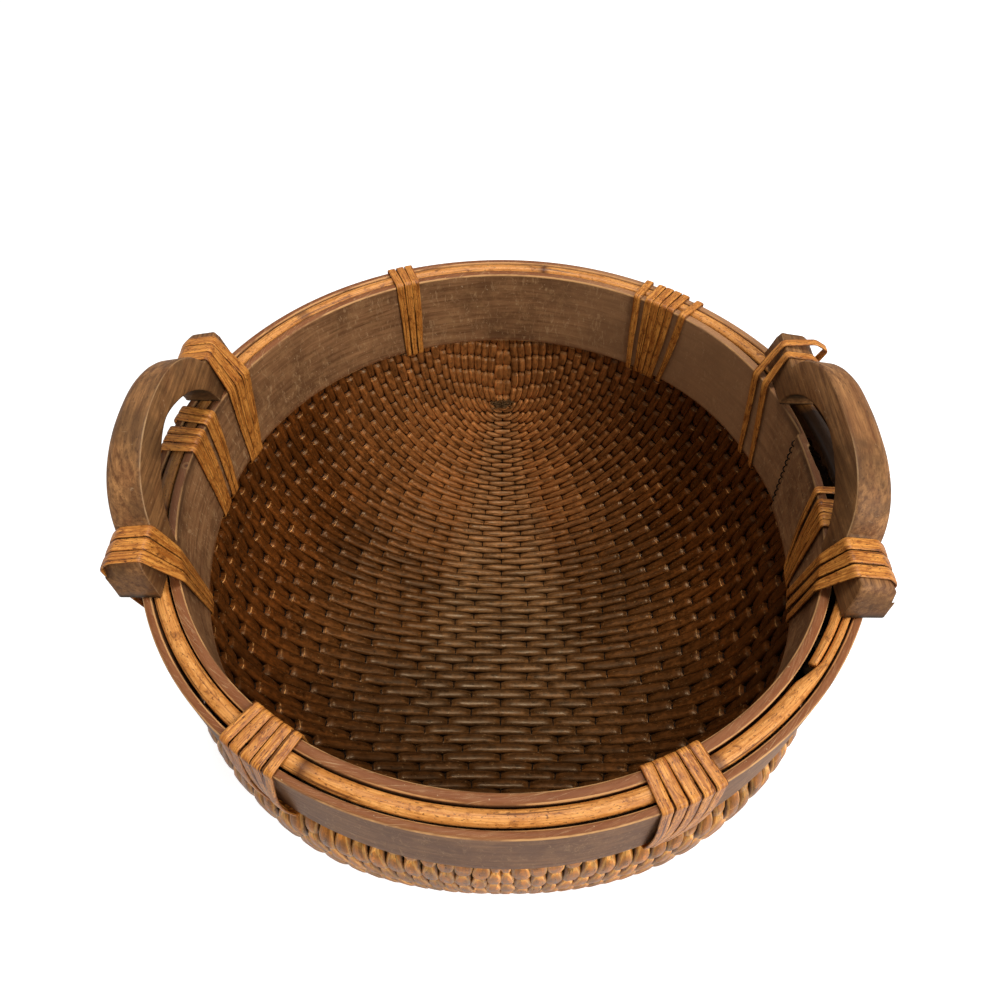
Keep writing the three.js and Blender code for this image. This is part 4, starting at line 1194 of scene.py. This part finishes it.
for node, handle in (("right_handle", RIGHT_HANDLE), ("left_handle", LEFT_HANDLE)):
    add_piece("carved_" + node, handle_mesh("carved_" + node, handle), carved, node, "carved_wood")

# Lashings
# Split rattan strips, wound wet over both hoops and the cane, and over the feet of the handles, and drawn
# through the wall just under the hoops. The skin side is out, and the turns lie tight beside each other.
STRIP_THICKNESS = 0.0012
STRIP_STAND = 0.00105
INSIDE = 0.18915
OUTSIDE = 0.21105
STRIP_TOP = 0.26185
STRIP_ENTRY = 0.20395
STRIP_TUCK = 0.19495
STRIP_SPACING = 0.0006  # between turns
STRIP_SWELL = 0.00045  # by which a strip is wider than its place
LAYER = 0.0004  # every other turn lies this much out
BOW = 0.0005  # of the runs down the outer hoop
FRONT_BOW = 0.0026


def rim_corner(radius, height, angle):
    return rim_place(radius, angle, height), np.array([-math.sin(angle), math.cos(angle), 0.0])


def edge_corner(handle, along, radius, across, width):
    """Where a strip passes the rim's edge under a foot, clear of the hoop and of the handle's face."""
    outwards = 1 if across > 0 else -1
    slack = STRIP_STAND + width / 2 * abs(along / radius)
    turn = math.asin(along / radius)
    hoop_x = abs(rim_place(radius, turn if handle["side"] > 0 else math.pi - turn, HANDLE_BASE)[0])
    face_x = abs(handle_place(handle, along, 0, across)[0])
    x = max(hoop_x, face_x) + slack if outwards > 0 else min(hoop_x, face_x) - slack
    angle = math.atan2(along, handle["side"] * x)
    place = np.array([handle["side"] * x, along, HANDLE_BASE])
    return place, np.array([-math.sin(angle), math.cos(angle), 0.0])


def over_foot(angle, handle, along, width, loose):
    square = np.array([handle["yaw"], handle["side"], 0.0])
    square /= np.linalg.norm(square)

    def on_handle(across, height, out, up):
        return handle_place(handle, along, height, across) + [handle["side"] * out, 0, up], square

    hoop_height = RIM_HEIGHT - INNER_HOOP_FOOT
    share = hoop_height / (hoop_height + handle["foot"])
    low = rim_place(INSIDE, angle, STRIP_TUCK)[1]
    chamfer_top = handle["foot"] - HANDLE_TOP_FALL
    return [
        edge_corner(handle, low + (along - low) * share, INNER_HOOP[0], 0, width),
        on_handle(0, handle["foot"], -STRIP_STAND, STRIP_STAND),
        on_handle(
            HANDLE_WIDTH - CHAMFER_WIDTH, chamfer_top, (STRIP_STAND + loose) / 2, STRIP_STAND + loose / 2
        ),
        on_handle(
            HANDLE_WIDTH, chamfer_top - CHAMFER_HEIGHT, STRIP_STAND + loose, (STRIP_STAND + loose) / 2
        ),
        edge_corner(handle, along, OUTER_HOOP[1], HANDLE_WIDTH, width)
    ]


def strip_rows(corners, width, foot_width, bow, tone):
    """A strip's line through (place, across, bend length) corners. Its width falls to foot_width of itself
    at both ends, and bow lifts its long run down the outer hoop."""
    places, acrosses = [corners[0][0]], [corners[0][1]]
    for i in range(1, len(corners) - 1):
        before, corner, after = corners[i - 1], corners[i], corners[i + 1]
        bend = corner[2] if len(corner) > 2 else 0.0022
        ends = []
        for other in (before, after):
            part = min(0.48, bend / np.linalg.norm(corner[0] - other[0]))
            ends.append(
                (corner[0] + (other[0] - corner[0]) * part, corner[1] + (other[1] - corner[1]) * part)
            )
        for part in (0, 0.25, 0.5, 0.75, 1):
            weights = ((1 - part) ** 2, 2 * part * (1 - part), part ** 2)
            three = (ends[0], corner, ends[1])
            places.append(sum(weight * item[0] for weight, item in zip(weights, three)))
            acrosses.append(sum(weight * item[1] for weight, item in zip(weights, three)))
    places.append(corners[-1][0])
    acrosses.append(corners[-1][1])
    places, acrosses = np.array(places), np.array(acrosses)
    way = np.append(0, np.cumsum(np.linalg.norm(np.diff(places, axis=0), axis=1)))
    steps = np.unique(np.concatenate([way, np.arange(0, way[-1], 0.004)]))
    steps = steps[np.append(True, np.diff(steps) > 0.0002)]
    places = np.stack([np.interp(steps, way, places[:, k]) for k in range(3)], 1)
    acrosses = np.stack([np.interp(steps, way, acrosses[:, k]) for k in range(3)], 1)
    acrosses /= np.linalg.norm(acrosses, axis=1)[:, None]
    tangents = np.gradient(places, axis=0)
    tangents /= np.linalg.norm(tangents, axis=1)[:, None]
    normals = np.cross(tangents, acrosses)
    normals /= np.linalg.norm(normals, axis=1)[:, None]
    if bow:
        around = np.hypot(places[:, 0], places[:, 1])
        outer_run = (around > 0.2075) & (places[:, 2] < 0.258) & (places[:, 2] > 0.2045)
        rise = np.clip((0.258 - places[:, 2]) / 0.0535, 0, 1)
        push = np.where(outer_run, np.sin(rise * math.pi) * bow, 0)
        side = places[:, :2] / np.linalg.norm(places[:, :2], axis=1)[:, None]
        places[:, :2] += side * push[:, None]
    waves = np.array([noise.noise(Vector((step * 40, tone * 50, 0))) for step in steps])
    places = places + acrosses * (waves * 0.0004)[:, None]
    slim = 1 - (1 - foot_width) * np.clip((0.256 - places[:, 2]) / 0.05, 0, 1) ** 1.5
    return {
        "places": places, "across": acrosses, "normal": normals,
        "width": width * slim * (1 + 0.07 * np.roll(waves, 3)), "along": steps,
        "rod_tone": np.full(len(steps), tone),
    }


strip_tree, given = new_tree(
    "split_strips",
    [
        ("Sides", "NodeSocketInt", 12),
        ("Thickness", "NodeSocketFloat", STRIP_THICKNESS),
        ("Material", "NodeSocketMaterial", None),
    ],
)
t = strip_tree
body, side, lift = swept(t, given)
lift_size = reckon(t, "ABSOLUTE", lift)
lift_size = reckon(t, "POWER", lift_size, 0.5)
lift_sign = reckon(t, "SIGN", lift)
lift = reckon(t, "MULTIPLY", lift_size, lift_sign)
half_width = reckon(t, "MULTIPLY", read(t, "width"), 0.5)
sideways = reckon(t, "MULTIPLY", half_width, side)
half_thickness = reckon(t, "MULTIPLY", given.outputs["Thickness"], 0.5)
upwards = reckon(t, "MULTIPLY", half_thickness, lift)
body = put_in_place(t, body, sideways, upwards)
grain = add_node(t, "ShaderNodeCombineXYZ", {"X": read(t, "along"), "Y": sideways, "Z": read(t, "rod_tone")})
body = store(t, body, "grain", grain, "FLOAT_VECTOR")
edge = reckon(t, "ABSOLUTE", side)
edge = step_between(t, edge, 0.93, 1.0, 0.7)
body = store(t, body, "edge", edge)
finish_tree(t, body, given.outputs["Material"])

rattan = cane_material("rattan_split_skin_side_out", "efa24a", "a15a1f", "47210a", 0.1, 0.1)
# Each lashing: its width in mm, the middle of its turns in degrees, the turns' counts, the shift and spread
# of its feet inside and outside, and, over a handle's foot, where each turn lies and how loose it is in mm.
lashings = [
    ("lashing_back_left", 5.3, 112, [0, 1, 2], (0, 0.85), (0, 0.9), None),
    ("lashing_back_right", 5.2, 53.3, [0, 1.8, 2.8, 3.8, 4.8, 6.4], (3, 0.72), (0, 0.9), None),
    ("lashing_front_left", 5.5, 236.9, [0, 1, 2, 3, 4], (0, 0.9), (7, 0.5), None),
    ("lashing_front_right", 5.6, 293.5, [0, 1, 2, 3, 4], (0, 0.9), (-7, 0.5), None),
    (
        "lashing_left_foot_far", 6.8, 160.2, [2, 1, 0], (0, 0.7), (0, 0.9),
        (LEFT_HANDLE, [64, 71.6, 79.2], [0, 0, 0]),
    ),
    ("lashing_left_rim_far", 5.5, 169.2, [1, 0], (6, 0.75), (0, 0.9), None),
    ("lashing_left_rim_near", 5.7, 175.1, [0, 1, 2], (1, 0.6), (0, 0.9), None),
    (
        "lashing_left_foot_near", 6.8, 199, [0, 1, 2], (-3, 0.6), (0, 0.9),
        (LEFT_HANDLE, [-70.2, -78, -85.8], [0, 0, 0]),
    ),
    (
        "lashing_right_foot_far", 5.2, 20.5, [0, 1.5], (-2.5, 1.7), (0, 1),
        (RIGHT_HANDLE, [72.5, 83.5], [0, 6.5]),
    ),
    ("lashing_right_rim", 4.4, -9.5, [0, 1, 2, 3, 4.8], (-5, 0.5), (0, 0.9), None),
    (
        "lashing_right_foot_near", 7.2, -18.6, [2, 1, 0], (3, 1.15), (0, 0.9),
        (RIGHT_HANDLE, [-72.6, -81, -89.4], [0, 0, 0]),
    ),
]
for name, width_mm, middle_degrees, counts, inner_foot, outer_foot, crossed in lashings:
    width = width_mm / 1000
    step = (width + STRIP_SPACING) / INSIDE
    middle = math.radians(middle_degrees)
    centre = (counts[0] + counts[-1]) / 2
    lines = []
    for turn, count in enumerate(counts):
        angle = middle + (count - centre) * step
        inner_angle = middle + inner_foot[0] / 1000 / INSIDE + (count - centre) * step * inner_foot[1]
        outer_angle = middle + outer_foot[0] / 1000 / OUTSIDE + (count - centre) * step * outer_foot[1]
        layer = LAYER * (turn % 2)
        corners = [
            rim_corner(0.1925, 0.1925, inner_angle), rim_corner(INSIDE - layer, STRIP_TUCK, inner_angle)
        ]
        if crossed:
            handle, along, loose = crossed
            corners += over_foot(angle, handle, along[turn] / 1000, width, loose[turn] / 1000)
        else:
            drift = inner_angle + (angle - inner_angle) * 0.72
            corners.append((*rim_corner(INSIDE - 0.0008, 0.232, drift), 0.016))
            corners += [rim_corner(INSIDE, STRIP_TOP, angle), rim_corner(OUTSIDE, STRIP_TOP, angle)]
            drift = outer_angle + (angle - outer_angle) * 0.72
            corners.append((*rim_corner(OUTSIDE + 0.0004, 0.236, drift), 0.014))
        corners += [
            rim_corner(OUTSIDE + layer, STRIP_ENTRY, outer_angle), rim_corner(0.205, 0.2005, outer_angle)
        ]
        bow = FRONT_BOW if name.startswith("lashing_front") else BOW
        bow *= 0.6 + 0.8 * chance.random()
        lines.append(strip_rows(corners, width + STRIP_SWELL, 0.72, bow, chance.random()))
    piece = grown(name + "_strips", line_mesh(name + "_lines", lines), strip_tree, {"Material": rattan})
    stand_for(piece, "split_rattan", name)


# Hemp tangles
# Where threads end they are knotted and left to fray: at the back pole and beside the lashings' feet.
FRAY_BELOW_HOOP = 0.0055  # along the wall
FRAY_OUT = 0.0038  # from the wall's middle


def tangle(centre, right, up, out, reach, count):
    """Short threads that wander round a place, within reach along right, up and out."""
    lines = []
    for _ in range(count):
        start = [chance.uniform(-1, 1) for _ in range(3)]
        heading = [chance.uniform(-1, 1) for _ in range(3)]
        places = []
        for step in range(7):
            part = step / 6
            local = [
                (
                    start[k] * 0.7 + heading[k] * (part - 0.5) + 0.5 * math.sin(part * 5 + start[k] * 9)
                ) * reach[k]
                for k in range(3)
            ]
            places.append(centre + right * local[0] + up * local[1] + out * (local[2] + reach[2] * 0.4))
        lines.append({"places": np.array(places)})
    return lines


def tangle_at_wall(east, north, reach, count):
    """A tangle on the bowl's inner face."""
    places, normals = on_wall(np.array([east]), np.array([north]))
    out = normals[0] / np.linalg.norm(normals[0])
    right = np.cross([0, 0, 1.0], out)
    right /= np.linalg.norm(right)
    return tangle(flattened(places[0]) + out * FRAY_OUT, right, np.cross(out, right), out, reach, count)


tangles = tangle_at_wall(0, pole + 0.002, (0.0075, 0.0036, 0.0016), 46)
for _, _, middle_degrees, counts, inner_foot, _, _ in lashings:
    angle = math.radians(middle_degrees) + inner_foot[0] / 1000 / INSIDE
    half = 0.0025 * len(counts)
    fray_way = hoop_way - FRAY_BELOW_HOOP
    east, north = fray_way * math.cos(angle), fray_way * math.sin(angle)
    tangles += tangle_at_wall(east, north, (half, 0.0018, 0.0014), 5 * len(counts))
frayed = hemp_material("hemp_thread_frayed", "3c240f", "b58f60", "4c3017")
knots = grown(
    "hemp_knots", line_mesh("hemp_knots_lines", tangles), thread_tree, {"Radius": 0.00036, "Material": frayed}
)
stand_for(knots, "hemp_thread", "woven_bowl")
